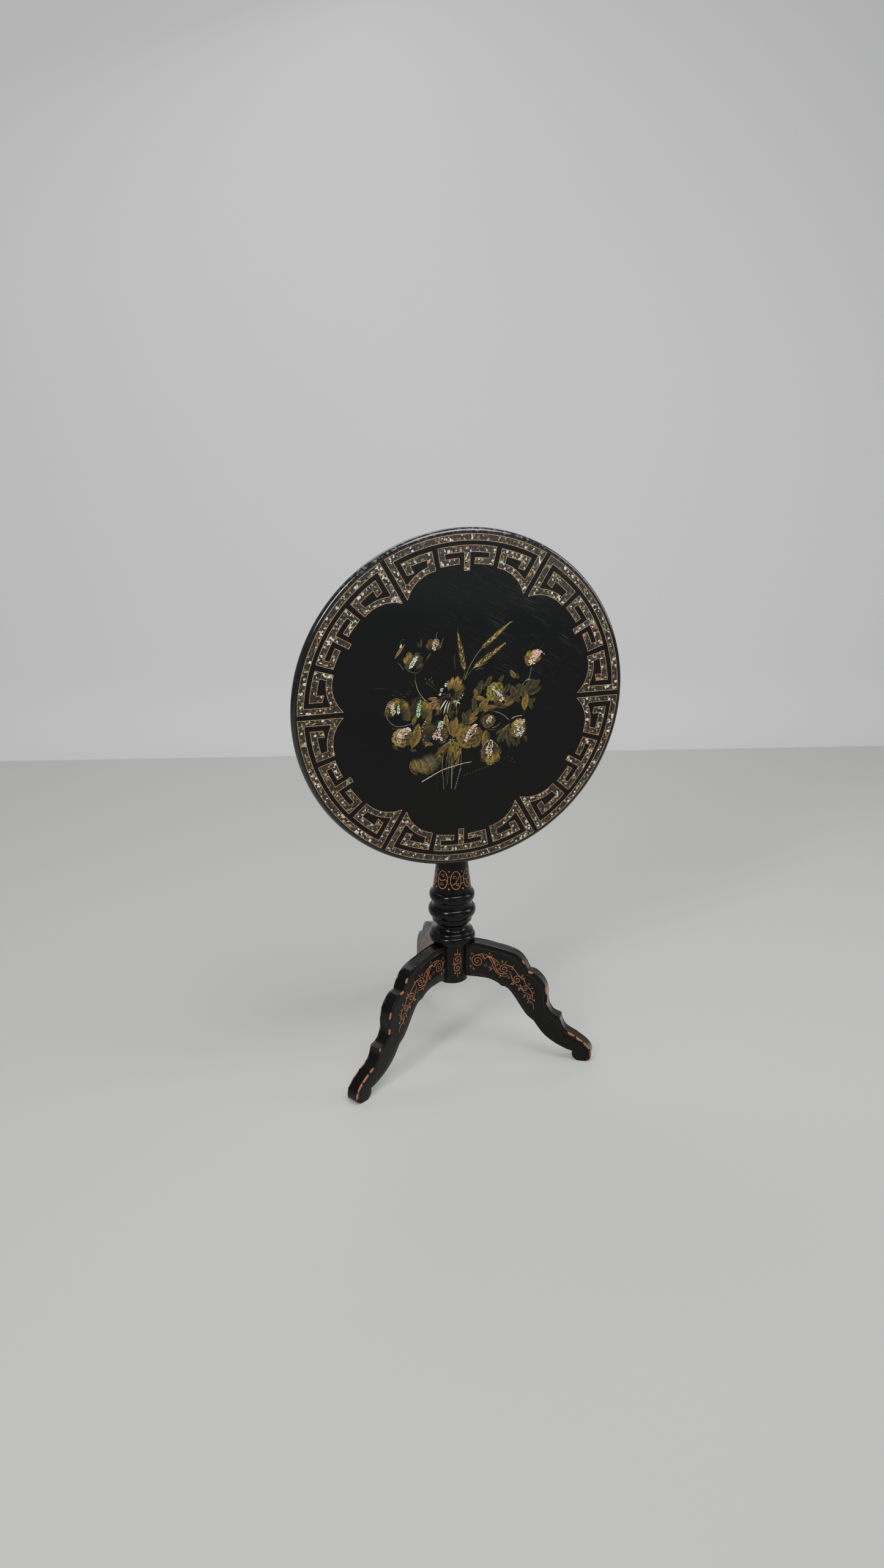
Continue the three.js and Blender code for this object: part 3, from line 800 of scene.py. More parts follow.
class TABLE_OT_border(bpy.types.Operator):
    """Lays the meander border: gold lines filled with broken pearl"""

    bl_idname = "table.border"
    bl_label = "Border"

    def execute(self, context):
        s = context.scene.table_top
        colours = context.scene.table_colours
        rng = random.Random(s.seed)
        lines = Relief(lambda x, y, h: (x, y, h))
        chips = Relief(lambda x, y, h: (x, y, h))
        gilt = tuple(colours.gilt)
        for sector in range(6):
            turn = math.radians(60 * sector)
            cos, sin = math.cos(turn), math.sin(turn)
            for outline in (great_key(), small_key()):
                turned = [(x * cos - y * sin, x * sin + y * cos) for x, y in outline]
                lines.ribbon(turned, s.line / MM, 0.22, gilt, tuple(c * 0.8 for c in gilt), closed=True)
                for piece in shards(turned, s.chip / MM, s.line / MM * 0.5 + 0.35, rng):
                    tint = rng.choices(PEARL_TINTS, PEARL_SHARES)[0]
                    shade = rng.uniform(0.75, 1.2)
                    tint = tuple(min(1.0, c * shade * rng.uniform(0.92, 1.08)) for c in tint)
                    slope = (rng.uniform(-0.03, 0.03), rng.uniform(-0.03, 0.03))
                    chips.chip(piece, rng.uniform(0.10, 0.2), tint, slope)
        for obj in (
            lines.build("border_gold_lines", face_placement(), "top",
                        tinted("gold_line", 0.4, 0.25, 260.0)),
            chips.build("border_pearl_chips", face_placement(), "top", pearl("pearl_chips")),
        ):
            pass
        return {"FINISHED"}


# ---------------------------------------------------------------- bouquet


GOLD = (0.255, 0.178, 0.032)
TAN = (0.37, 0.27, 0.095)
OLIVE = (0.085, 0.066, 0.016)
MOSS = (0.028, 0.026, 0.009)
DEEP = (0.016, 0.014, 0.007)
ORANGE = (0.32, 0.145, 0.030)
BROWN = (0.115, 0.072, 0.020)
PALE = (0.55, 0.50, 0.36)
GREY = (0.17, 0.165, 0.135)
SHELL = (0.95, 0.95, 0.88)
ROSE = (0.90, 0.42, 0.38)
LEEK = (0.30, 0.74, 0.30)
LILAC = (0.50, 0.48, 0.60)
AMBER = (0.78, 0.48, 0.14)
RUST = (0.62, 0.16, 0.06)


class Painter:
    """Paints flowers and leaves on the face, in gilt relief and in pearl."""

    def __init__(self, seed):
        self.rng = random.Random(seed)
        self.gilt = Relief(lambda x, y, h: (x, y, h))
        self.pearl = Relief(lambda x, y, h: (x, y, h))

    def near(self, tint, spread=0.2):
        shade = self.rng.uniform(1 - spread, 1 + spread)
        return tuple(min(1.0, c * shade) for c in tint)

    def line(self, points, width=0.8, tint=OLIVE, tip=0.35, height=0.22):
        """A brush line that thins towards its end."""
        path = spline(points, 2.2)
        self.gilt.ribbon(path, lambda t: width * (1 - (1 - tip) * t), height, tint)

    def stroke(self, points, width, tint, height=0.34, full=0.5, edge=None, pearl=False, base=None):
        """One brush stroke, thin at both ends and widest at the share full of its length."""
        length = sum(math.dist(a, b) for a, b in zip(points, points[1:]))
        path = spline(points, max(0.9, length / 6)) if len(points) > 2 else points
        if len(path) < 3:
            (x0, y0), (x1, y1) = path[0], path[-1]
            path = [(x0 + (x1 - x0) * t, y0 + (y1 - y0) * t) for t in (0, 0.3, 0.7, 1)]

        def widths(t):
            belly = math.sin(math.pi * min(1, t / (2 * full))) if t < full else math.cos(
                math.pi / 2 * (t - full) / (1 - full))
            return max(0.12, width * belly)

        tint = self.near(tint)
        where = self.pearl if pearl else self.gilt
        where.ribbon(path, widths, height, tint, self.near(edge) if edge else tint, base=base)
        return path, widths

    def leaf(self, x0, y0, x1, y1, width, bend=0.0, mid=OLIVE, edge=GOLD, vein=True, pearl=False,
             height=0.3, full=0.42):
        """A leaf from its stalk to its tip, shaded with fine ribs. bend bows it sideways."""
        length = math.hypot(x1 - x0, y1 - y0)
        nx, ny = -(y1 - y0) / length, (x1 - x0) / length
        bowed = ((x0 + x1) / 2 + nx * bend, (y0 + y1) / 2 + ny * bend)
        path, widths = self.stroke([(x0, y0), bowed, (x1, y1)], width, mid, height, full, edge, pearl)
        if not vein or width < 4:
            return
        self.gilt.ribbon(path[1:-1], lambda t: 0.55 - 0.3 * t, height + 0.12, DEEP)
        ribs = max(5, int(length / 1.7))
        for k in range(1, ribs):
            t = k / ribs
            at = t * (len(path) - 1)
            i = min(int(at), len(path) - 2)
            px, py = (path[i][n] + (path[i + 1][n] - path[i][n]) * (at - i) for n in (0, 1))
            dx, dy = path[i + 1][0] - path[i][0], path[i + 1][1] - path[i][1]
            size = math.hypot(dx, dy)
            dx, dy = dx / size, dy / size
            for side, tint in ((-1, edge), (1, blend_tints(mid, edge, 0.35))):
                reach = widths(t) * self.rng.uniform(0.36, 0.56)
                start = (px + dx * 0.2 - dy * side * 0.3, py + dy * 0.2 + dx * side * 0.3)
                end = (px + dx * reach * 0.9 - dy * side * reach, py + dy * reach * 0.9 + dx * side * reach)
                self.stroke([start, end], 1.15, tint, height + 0.07, 0.7, base=mid)

    def petal(self, x, y, turn, reach, spread, tint=GOLD, ground=MOSS, inner=0.3, height=0.34, flat=1.0):
        """A petal fanned out from its foot: a dark shape under fine strokes, with a light rounded rim."""
        half = math.radians(spread / 2)
        a = math.radians(turn)

        def at(share, t):
            b = a + half * t
            out = reach * share * (0.86 + 0.14 * math.sqrt(max(0.0, 1 - t * t)))
            return (x + out * math.cos(b), y + out * flat * math.sin(b))

        self.stroke([at(inner, 0), at(1.0, 0)], reach * 2 * math.sin(half) * 1.02, ground, height - 0.08,
                    0.72)
        ribs = max(4, int(reach * 2 * half / 1.35))
        for k in range(ribs):
            t = (k + 0.5) / ribs * 2 - 1
            share = self.rng.uniform(0.93, 1.0)
            first = self.rng.uniform(inner, inner + 0.35 * (1 - inner))
            self.stroke([at(first, t * 0.9), at((first + share) / 2, t * 1.04), at(share, t)], 1.25, tint,
                        height,
                        0.8, base=ground)
        rim = [at(1.0, t) for t in (-1, -0.7, -0.35, 0, 0.35, 0.7, 1)]
        self.gilt.ribbon(spline(rim, 1.0), lambda t: 0.65 * math.sin(math.pi * (0.1 + 0.8 * t)),
                         height + 0.05,
                         self.near(tint))

    def leaves(self, bend, rows):
        """Leaves that bow alike, each from, to, width, and the tints of its middle and its edge."""
        for x0, y0, x1, y1, width, mid, edge in rows:
            self.leaf(x0, y0, x1, y1, width, bend, mid, edge)

    def petals(self, x, y, spread, ground, rows, inner=0.3, height=0.34):
        """Petals fanned out from one foot, each with its turn, reach and tint."""
        for turn, reach, tint in rows:
            self.petal(x, y, turn, reach, spread, tint, ground, inner, height)

    def rose(self, x, y, rx, ry, turn, bright=GOLD, dim=OLIVE, count=8, heart=(0, 0), light=130):
        """A full rose: three rings of petals, bright on the side that faces the light."""
        for ring, (size, share) in enumerate(((1.0, 0.45), (0.74, 0.4), (0.46, 0.2))):
            number = count - 2 * ring
            cx, cy = x + heart[0] * ring / 2, y + heart[1] * ring / 2
            for k in range(number):
                angle = turn + ring * 25 + 360 * k / number + self.rng.uniform(-7, 7)
                facing = math.cos(math.radians(angle - light)) * 0.5 + 0.5
                tint = blend_tints(dim, bright, min(1.0, facing * 1.25))
                self.petal(cx, cy, angle, rx * size * self.rng.uniform(0.94, 1.05), 410 / number, tint,
                           blend_tints(DEEP, MOSS, facing), share, 0.30 + 0.06 * ring, ry / rx)

    def shells(self, x, y, along, across, turn, tints, bend=0.0, row=1.35, fill=0.8):
        """Slips of pearl in broken rows across a flower, leaving the dark between them."""
        a = math.radians(turn)
        cos, sin = math.cos(a), math.sin(a)
        rows = max(2, round(2 * across / row))
        for k in range(rows):
            t = (k + 0.5) / rows * 2 - 1
            reach = along * math.sqrt(max(0.1, 1 - t * t))
            s = -reach * self.rng.uniform(0.75, 1.05)
            while s < reach:
                size = self.rng.uniform(1.3, 4.2)
                if self.rng.random() < fill:
                    side = across * t + bend * (1 - (s / along) ** 2) + self.rng.uniform(-0.4, 0.4)
                    lean = self.rng.uniform(-0.5, 0.5)
                    ends = [(s, side), (s + size, side + lean)]
                    points = [(x + p * cos - q * sin, y + p * sin + q * cos) for p, q in ends]
                    self.stroke(points, row * self.rng.uniform(1.0, 1.7), self.rng.choice(tints), 0.5,
                                pearl=True)
                s += size * self.rng.uniform(0.8, 1.35)

    def hatch(self, x, y, along, across, turn, tints, bend=0.0, width=1.7):
        """An oval filled with strokes side by side, running through the tints from one side to the other."""
        a = math.radians(turn)
        cos, sin = math.cos(a), math.sin(a)
        rows = max(4, round(2 * across / width * 1.25))
        for k in range(rows):
            t = (k + 0.5) / rows * 2 - 1
            reach = along * math.sqrt(max(0.04, 1 - t * t)) * self.rng.uniform(0.9, 1.04)
            at = (t + 1) / 2 * (len(tints) - 1)
            i = min(int(at), len(tints) - 2)
            ends = [(-reach, across * t), (0, across * t + bend), (reach, across * t)]
            points = [(x + p * cos - q * sin, y + p * sin + q * cos) for p, q in ends]
            self.stroke(points, width, self.near(blend_tints(tints[i], tints[i + 1], at - i), 0.3),
                        0.28 + 0.03 * (k % 3), 0.5)

    def thicket(self, x, y, rx, ry, count, turn, spread, size, mid=MOSS, edge=OLIVE):
        """Dim leaves that fill the ground behind the flowers."""
        for _ in range(count):
            a, r = self.rng.uniform(0, 2 * math.pi), math.sqrt(self.rng.random())
            px, py = x + rx * r * math.cos(a), y + ry * r * math.sin(a)
            b = math.radians(turn + self.rng.uniform(-spread, spread))
            reach = size * self.rng.uniform(0.7, 1.3)
            self.leaf(px, py, px + reach * math.cos(b), py + reach * math.sin(b), reach * 0.42,
                      self.rng.uniform(-1.5, 1.5), self.near(mid), self.near(edge, 0.4), height=0.2)

    def wheat(self, x0, y0, x1, y1, width, count):
        """An ear of wheat: paired grains and thin awns along its spine."""
        length = math.hypot(x1 - x0, y1 - y0)
        ax, ay = (x1 - x0) / length, (y1 - y0) / length
        for k in range(count):
            t = k / count
            swell = math.sin(math.pi * min(1, 0.25 + t * 0.85)) ** 0.6
            cx, cy = x0 + (x1 - x0) * t, y0 + (y1 - y0) * t
            for side in (-1, 1):
                out = width * 0.5 * swell * self.rng.uniform(0.8, 1.15)
                reach = length / count * self.rng.uniform(1.5, 2.1)
                tip = (cx + ax * reach - ay * side * out, cy + ay * reach + ax * side * out)
                tint = self.rng.choice((GOLD, GOLD, TAN, OLIVE, BROWN, MOSS))
                self.stroke([(cx, cy), tip], width * 0.27, tint, 0.3, 0.55, OLIVE)
                awn = (tip[0] + ax * 4.5 - ay * side * 1.4, tip[1] + ay * 4.5 + ax * side * 1.4)
                self.gilt.ribbon([tip, awn], lambda t: 0.35 - 0.2 * t, 0.15, self.near(OLIVE))
            if self.rng.random() < 0.35:
                bead = self.rng.choice((PALE, SHELL, (0.55, 0.7, 0.45)))
                self.stroke([(cx, cy), (cx + ax * 2.6, cy + ay * 2.6)], 0.9, bead, 0.5, pearl=True)
        self.leaf(x1 - ax * 4, y1 - ay * 4, x1 + ax * 6, y1 + ay * 6, width * 0.3, 0, GOLD, TAN, False)


def blend_tints(first, second, share):
    return tuple(a + (b - a) * share for a, b in zip(first, second))


def paint_upper_left(p):
    """The two buds and the tulip at the upper left, with the stem that carries them."""
    p.line([(-109, 70), (-115, 79), (-120, 83.5)], 0.8, GREY)
    p.leaf(-124, 89.5, -105.5, 114, 4.6, 1.0, BROWN, TAN, True)
    p.line([(-114, 110), (-114, 117), (-110, 122), (-106, 121)], 0.8, OLIVE)
    p.leaf(-115, 107, -112, 114, 2.6, 0, SHELL, SHELL, False, True)
    p.line([(-88, 49), (-88, 60), (-90, 66)], 1.0, OLIVE)
    p.line([(-69.5, 12.5), (-77, 22), (-84, 34), (-88, 49)], 1.3, (0.20, 0.18, 0.14), 0.7)
    for turn, reach, tint, ground in ((138, 19, OLIVE, DEEP), (42, 21, OLIVE, DEEP), (120, 30, GOLD, MOSS),
                                      (60, 31, MOSS, DEEP), (104, 35, GOLD, MOSS), (76, 34, OLIVE, DEEP),
                                      (92, 30, OLIVE, DEEP)):
        p.petal(-92, 64, turn, reach, 21, tint, ground)
    p.petal(-97, 70, 116, 21, 26, GOLD, MOSS, 0.25, 0.42)
    p.shells(-91.5, 80, 13.5, 3.4, 58, (SHELL, SHELL, (0.62, 0.95, 0.6), LEEK), 0.8, 1.5, 0.9)
    p.line([(-106, 73), (-98, 66), (-88, 63), (-82, 64), (-76, 71), (-73, 80)], 1.0, OLIVE)
    p.leaf(-78, 104, -78, 122, 4.4, 0.8, MOSS, OLIVE)
    p.leaf(-82, 106, -85, 116, 2.4, 0.4, MOSS, OLIVE, False)
    p.leaf(-67.5, 85.5, -61, 96, 2.5, 0, OLIVE, OLIVE, False)
    p.petals(-58, 94.5, 30, DEEP, ((122, 19, BROWN), (48, 21, BROWN), (100, 24, BROWN), (72, 25, TAN)), 0.3)
    p.shells(-54, 107, 8.5, 6, 62, (PALE, TAN, BROWN, (0.7, 0.5, 0.42), DEEP), 0, 1.6, 0.7)
    p.line([(-61, 95), (-66, 90), (-70, 82)], 0.9, OLIVE)
    p.line([(-51, 118), (-52, 126), (-49, 131)], 0.8, GREY)
    p.line([(-43, 110), (-39, 120)], 0.8, GREY)


def paint_left_tendril(p):
    """The thin spray that runs out to the left, and the berries."""
    p.line([(-160, 40), (-148, 40.5), (-140, 39.5), (-130, 35.5), (-120, 32)], 0.6, MOSS)
    for x, y in ((-121, 33), (-113, 28.5), (-107, 23), (-126, 27), (-101, 27), (-98, 32)):
        p.leaf(x - 3, y + 1.6, x + 3, y - 1.6, 1.3, 0, MOSS, MOSS, False)
    p.line([(-120, 32), (-110, 24), (-100, 18)], 0.5, MOSS)
    for x, y, r in ((-68, 44, 2.0), (-63, 49, 2.2), (-58, 45, 2.0), (-64, 41, 1.8), (-56, 40, 1.6),
                    (-60, 52, 1.5), (-70, 51, 1.7)):
        p.gilt.dot(x, y, r, 0.3, p.near(MOSS))
        p.gilt.dot(x + 0.3, y + 0.5, r * 0.4, 0.4, p.near(BROWN))
    for x, y in ((-95, 46), (-91, 49), (-98, 49), (-93, 42)):
        p.gilt.dot(x, y, 1.3, 0.25, p.near(MOSS))
    p.line([(-62, 41), (-54, 32), (-44, 24)], 0.6, OLIVE)
    p.line([(-45, 72), (-52, 62), (-60, 56)], 0.5, MOSS)


def paint_wheat(p):
    """The three ears of wheat and the stalks that hold them."""
    p.wheat(-1, 62, -13, 122, 8.5, 17)
    p.line([(-13, 122), (-15, 134)], 0.9, OLIVE, 0.2)
    p.wheat(30, 98, 77, 137, 7.5, 17)
    p.line([(77, 137), (86, 141.5)], 0.9, GOLD, 0.3)
    p.wheat(16, 64, 68, 101, 8.5, 17)
    p.line([(68, 101), (73, 103.5)], 1.2, PALE, 0.5)
    p.line([(0, 46), (8, 66), (20, 86), (30, 98)], 1.0, GREY, 0.8)
    p.line([(-4, 46), (0, 54), (-1, 63)], 1.0, OLIVE, 0.8)
    p.line([(0, 44), (7, 54), (16, 64)], 1.0, OLIVE, 0.8)
    for x0, y0, x1, y1 in ((22, 62, 42, 72), (18, 60, 36, 62), (-16, 62, -18, 84), (40, 96, 44, 116),
                           (-20, 76, -16, 92)):
        p.leaf(x0, y0, x1, y1, 1.6, 1.2, MOSS, OLIVE, False)


def paint_daisy(p):
    """The open flower with lilac and gold petals above the middle."""
    p.thicket(-30, 0, 26, 14, 6, 250, 50, 15)
    for x0, y0, x1, y1, w in ((-46, 12, -68, 4, 7), (-44, 8, -60, -4, 7), (-48, 16, -66, 16, 6),
                              (-44, 4, -50, -8, 6)):
        p.leaf(x0, y0, x1, y1, w, 0.8, BROWN, (0.34, 0.18, 0.09))
    p.petals(-27, 19, 15, DEEP, ((-38, 20, OLIVE), (-16, 24, OLIVE), (4, 27, OLIVE), (22, 30, OLIVE),
                                 (-62, 17, OLIVE), (196, 16, MOSS), (165, 15, MOSS)), 0.25)
    p.petals(-27, 16, 12.5, BROWN, ((38, 32, OLIVE), (95, 29, GOLD), (53, 36, GOLD), (66, 38, GOLD),
                                    (80, 34, TAN)), 0.38, 0.4)
    for x, y, reach in ((-41, 30, 4.2), (-33.5, 38, 3.6), (-44, 22, 3.0)):
        p.shells(x, y, reach, 1.9, 62, (LILAC, LILAC, GREY, (0.7, 0.68, 0.74)), 0, 1.4, 0.8)
    for x0, y0, x1, y1, w in ((-32, 12, -43, -6, 2.3), (-29, 10, -37, -14, 2.0), (-26, 8, -30, -12, 1.4)):
        p.stroke([(x0, y0), ((x0 + x1) / 2 - 1, (y0 + y1) / 2), (x1, y1)], w, (0.62, 0.70, 0.56), 0.5,
                 pearl=True)
    p.shells(-12, 5, 6, 2.2, 160, (LEEK, (0.5, 0.75, 0.35), PALE), 0, 1.4, 0.7)
    for x, y in ((-6.5, 13), (-27, 4), (-10, 9), (-3, 17), (-14, 1)):
        p.pearl.dot(x, y, 1.0, 0.5, p.near(PALE))
    for k in range(11):
        a = k * 0.57
        p.gilt.dot(-28.5 + 2.8 * math.cos(a), 18.5 + 2.8 * math.sin(a), 1.0, 0.6,
                   p.near(DEEP if k % 2 else OLIVE))
    p.gilt.dot(-28.5, 18.5, 2.2, 0.7, DEEP)
    p.leaf(-41, 10, -50, 14, 3.0, 0, OLIVE, OLIVE, False)
    for points, width, tint in (
        ([(-16, 26), (-17, 10), (-20, -14), (-22, -34)], 1.0, OLIVE),
        ([(-22, 16), (-24, 0), (-27, -16)], 0.9, GOLD),
        ([(-12, 24), (-12, 8), (-14, -6)], 0.8, OLIVE), ([(-20, 12), (-14, -4), (-14, -16)], 0.8, GOLD),
        ([(-24, 6), (-31, -8), (-33, -22)], 0.8, OLIVE), ([(-8, 6), (-10, -8), (-16, -22)], 0.7, OLIVE),
    ):
        p.line(points, width, tint, 0.6)


def paint_upper_right(p):
    """The pink bud at the upper right, its stem and the dim leaves round it."""
    p.petals(121, 60, 30, BROWN, ((118, 22, OLIVE), (46, 24, BROWN), (98, 27, GOLD), (72, 29, AMBER)), 0.3)
    p.shells(129.5, 80.5, 9.5, 6.4, 35, (ROSE, ROSE, SHELL, (0.9, 0.5, 0.6), RUST), 0, 1.5, 0.85)
    p.shells(124, 69.5, 9.5, 7, 62, (SHELL, AMBER, RUST, AMBER, ROSE), 0, 1.5, 0.8)
    p.leaf(116, 60, 110, 78, 4.4, 0.8, OLIVE, GOLD)
    p.leaf(118, 61, 113, 66, 3.0, 0.4, GOLD, GOLD, False)
    p.line([(113, 79), (119, 92), (127, 101)], 0.7, MOSS)
    p.line([(137, 88), (142, 95), (145.5, 101)], 0.7, MOSS)
    for x, y in ((141.5, 83), (145, 80), (139, 86)):
        p.pearl.dot(x, y, 0.9, 0.4, p.near(ROSE))
    p.line([(122.5, 58), (121, 48), (118.5, 39), (112, 34), (106, 26)], 0.9, GREY, 0.6)
    p.leaf(112, 34, 123, 37, 2.4, 0.4, GREY, GREY, False)
    p.thicket(100, 6, 24, 22, 6, 60, 80, 17)
    p.leaves(0.9, (
        (96, 40, 83, 56, 8, OLIVE, GOLD), (100, 38, 95, 50, 6, MOSS, OLIVE),
        (98, 4, 86, 28, 13, MOSS, OLIVE), (99, 4, 107, 28, 13, MOSS, OLIVE),
        (112, 14, 128, 36, 14, MOSS, OLIVE), (120, 22, 141, 33, 12, MOSS, OLIVE),
        (113, 10, 143, 20, 15, DEEP, OLIVE), (112, 4, 108, 20, 9, MOSS, BROWN),
        (78, -4, 96, 12, 12, MOSS, OLIVE), (72, -8, 92, -2, 10, BROWN, OLIVE),
        (113, -20, 115, 14, 13, BROWN, GOLD), (120, 4, 126, -20, 8, MOSS, OLIVE),
    ))
    p.line([(120, 10), (132, 11), (143, 20)], 0.9, GOLD, 0.6)
    p.line([(83, 2), (92, 0), (99, 5), (98, 12)], 0.9, BROWN, 0.6)
    p.line([(115, 2), (113, -12), (112, -27)], 1.6, BROWN, 0.3)
    p.line([(119, 0), (124, -9), (131, -16)], 0.8, GREY)


def paint_right_rose(p):
    """The large rose right of the middle and the pale pointed leaves under it."""
    p.thicket(40, 6, 26, 26, 7, 200, 80, 18)
    p.leaves(1.0, (
        (26, 14, 32, 42, 10, MOSS, OLIVE), (38, 8, 17, 14, 9, BROWN, GOLD),
        (24, 12, 19, 28, 7, OLIVE, GOLD), (28, -12, 46, 8, 13, OLIVE, GOLD),
        (44, -16, 32, 4, 12, OLIVE, GOLD), (36, -8, 60, -10, 9, BROWN, OLIVE),
        (48, 46, 36, 28, 8, MOSS, OLIVE), (74, 14, 84, 32, 9, MOSS, OLIVE),
        (70, 6, 92, -4, 9, OLIVE, GOLD), (56, -2, 78, -12, 10, MOSS, OLIVE),
        (64, 34, 72, 48, 7, MOSS, OLIVE), (42, 34, 50, 48, 8, MOSS, OLIVE),
        (20, -16, 40, -4, 8, MOSS, OLIVE),
    ))
    p.rose(57, 19, 17, 17.5, 12, (0.34, 0.27, 0.05), OLIVE, 8, (4, -3), 150)
    p.shells(60, 18, 13, 4.4, 132, (SHELL, SHELL, PALE, (0.7, 0.72, 0.4), MOSS), -1.5, 1.5, 0.72)
    p.shells(66, 10, 7.5, 2.6, 140, (SHELL, ROSE, SHELL, OLIVE), -1.0, 1.5, 0.7)
    p.shells(69, 4, 5, 2.6, 30, (RUST, ROSE, SHELL, AMBER), 0, 1.5, 0.85)
    p.line([(38, 30), (42, 38), (49, 42)], 0.6, OLIVE)
    p.line([(55, -4), (60, -8), (64, -12.5)], 0.8, GREY)
    p.line([(29, -5), (24, -12), (20, -17)], 1.0, OLIVE)


def paint_left_roses(p):
    """The three flowers along the left side."""
    p.petals(-119, -13, 25, MOSS, ((-8, 24, OLIVE), (150, 22, BROWN), (14, 27, OLIVE), (36, 29, BROWN),
                                   (132, 28, GOLD), (58, 31, GOLD), (114, 32, TAN), (76, 33, OLIVE),
                                   (95, 34, GOLD)), 0.3)
    for turn, reach in ((150, 24), (128, 27), (106, 28)):
        p.petal(-121, -14, turn, reach, 24, BROWN, DEEP, 0.3, 0.42)
    p.shells(-127, 1, 10, 4.4, 92, (SHELL, SHELL, RUST, LEEK, AMBER), 0, 1.6, 0.74)
    p.shells(-117.5, 0, 9, 2.2, 92, (LEEK, SHELL, PALE), 0, 1.5, 0.74)
    p.line([(-136, 14), (-140, 0), (-137, -13), (-127, -25), (-117, -29), (-104, -28), (-91, -25)], 0.9,
           GREY, 0.7)
    for turn, reach, tint, ground in ((122, 36, DEEP, DEEP), (104, 42, MOSS, DEEP), (40, 30, BROWN, MOSS),
                                      (86, 43, OLIVE, DEEP), (56, 36, GOLD, MOSS), (71, 39, GOLD, MOSS)):
        p.petal(-81, -24, turn, reach, 19, tint, ground, 0.25)
    p.leaf(-71, -34, -60, -4, 11, -2.0, OLIVE, BROWN)
    p.leaf(-92, -30, -84, -8, 8, 1.0, BROWN, OLIVE)
    p.shells(-81, -2, 17, 3.6, 84, (LEEK, (0.16, 0.62, 0.2), (0.62, 0.95, 0.6), LEEK), 0.8, 1.6, 0.85)
    p.line([(-93, 2), (-90, 12), (-85.5, 19.5), (-80, 20), (-76, 14)], 0.9, OLIVE)
    p.leaf(-94, -70, -82, -26, 18, -2.5, BROWN, GOLD)
    p.rose(-110, -49, 20, 17, 30, TAN, OLIVE, 9, (5, 5), 170)
    p.shells(-109, -41, 14, 6.2, 24, (SHELL, PALE, ROSE, SHELL, AMBER), 1.0, 1.45, 0.7)
    p.shells(-114, -54, 9, 4.5, 50, (TAN, PALE, AMBER), 0, 1.5, 0.5)
    p.line([(-129, -30), (-124, -33), (-112, -31)], 0.8, OLIVE)
    p.leaf(-98, -72, -84, -76, 6, 0, MOSS, MOSS)
    p.leaf(-128, -60, -118, -72, 6, 0, MOSS, OLIVE)


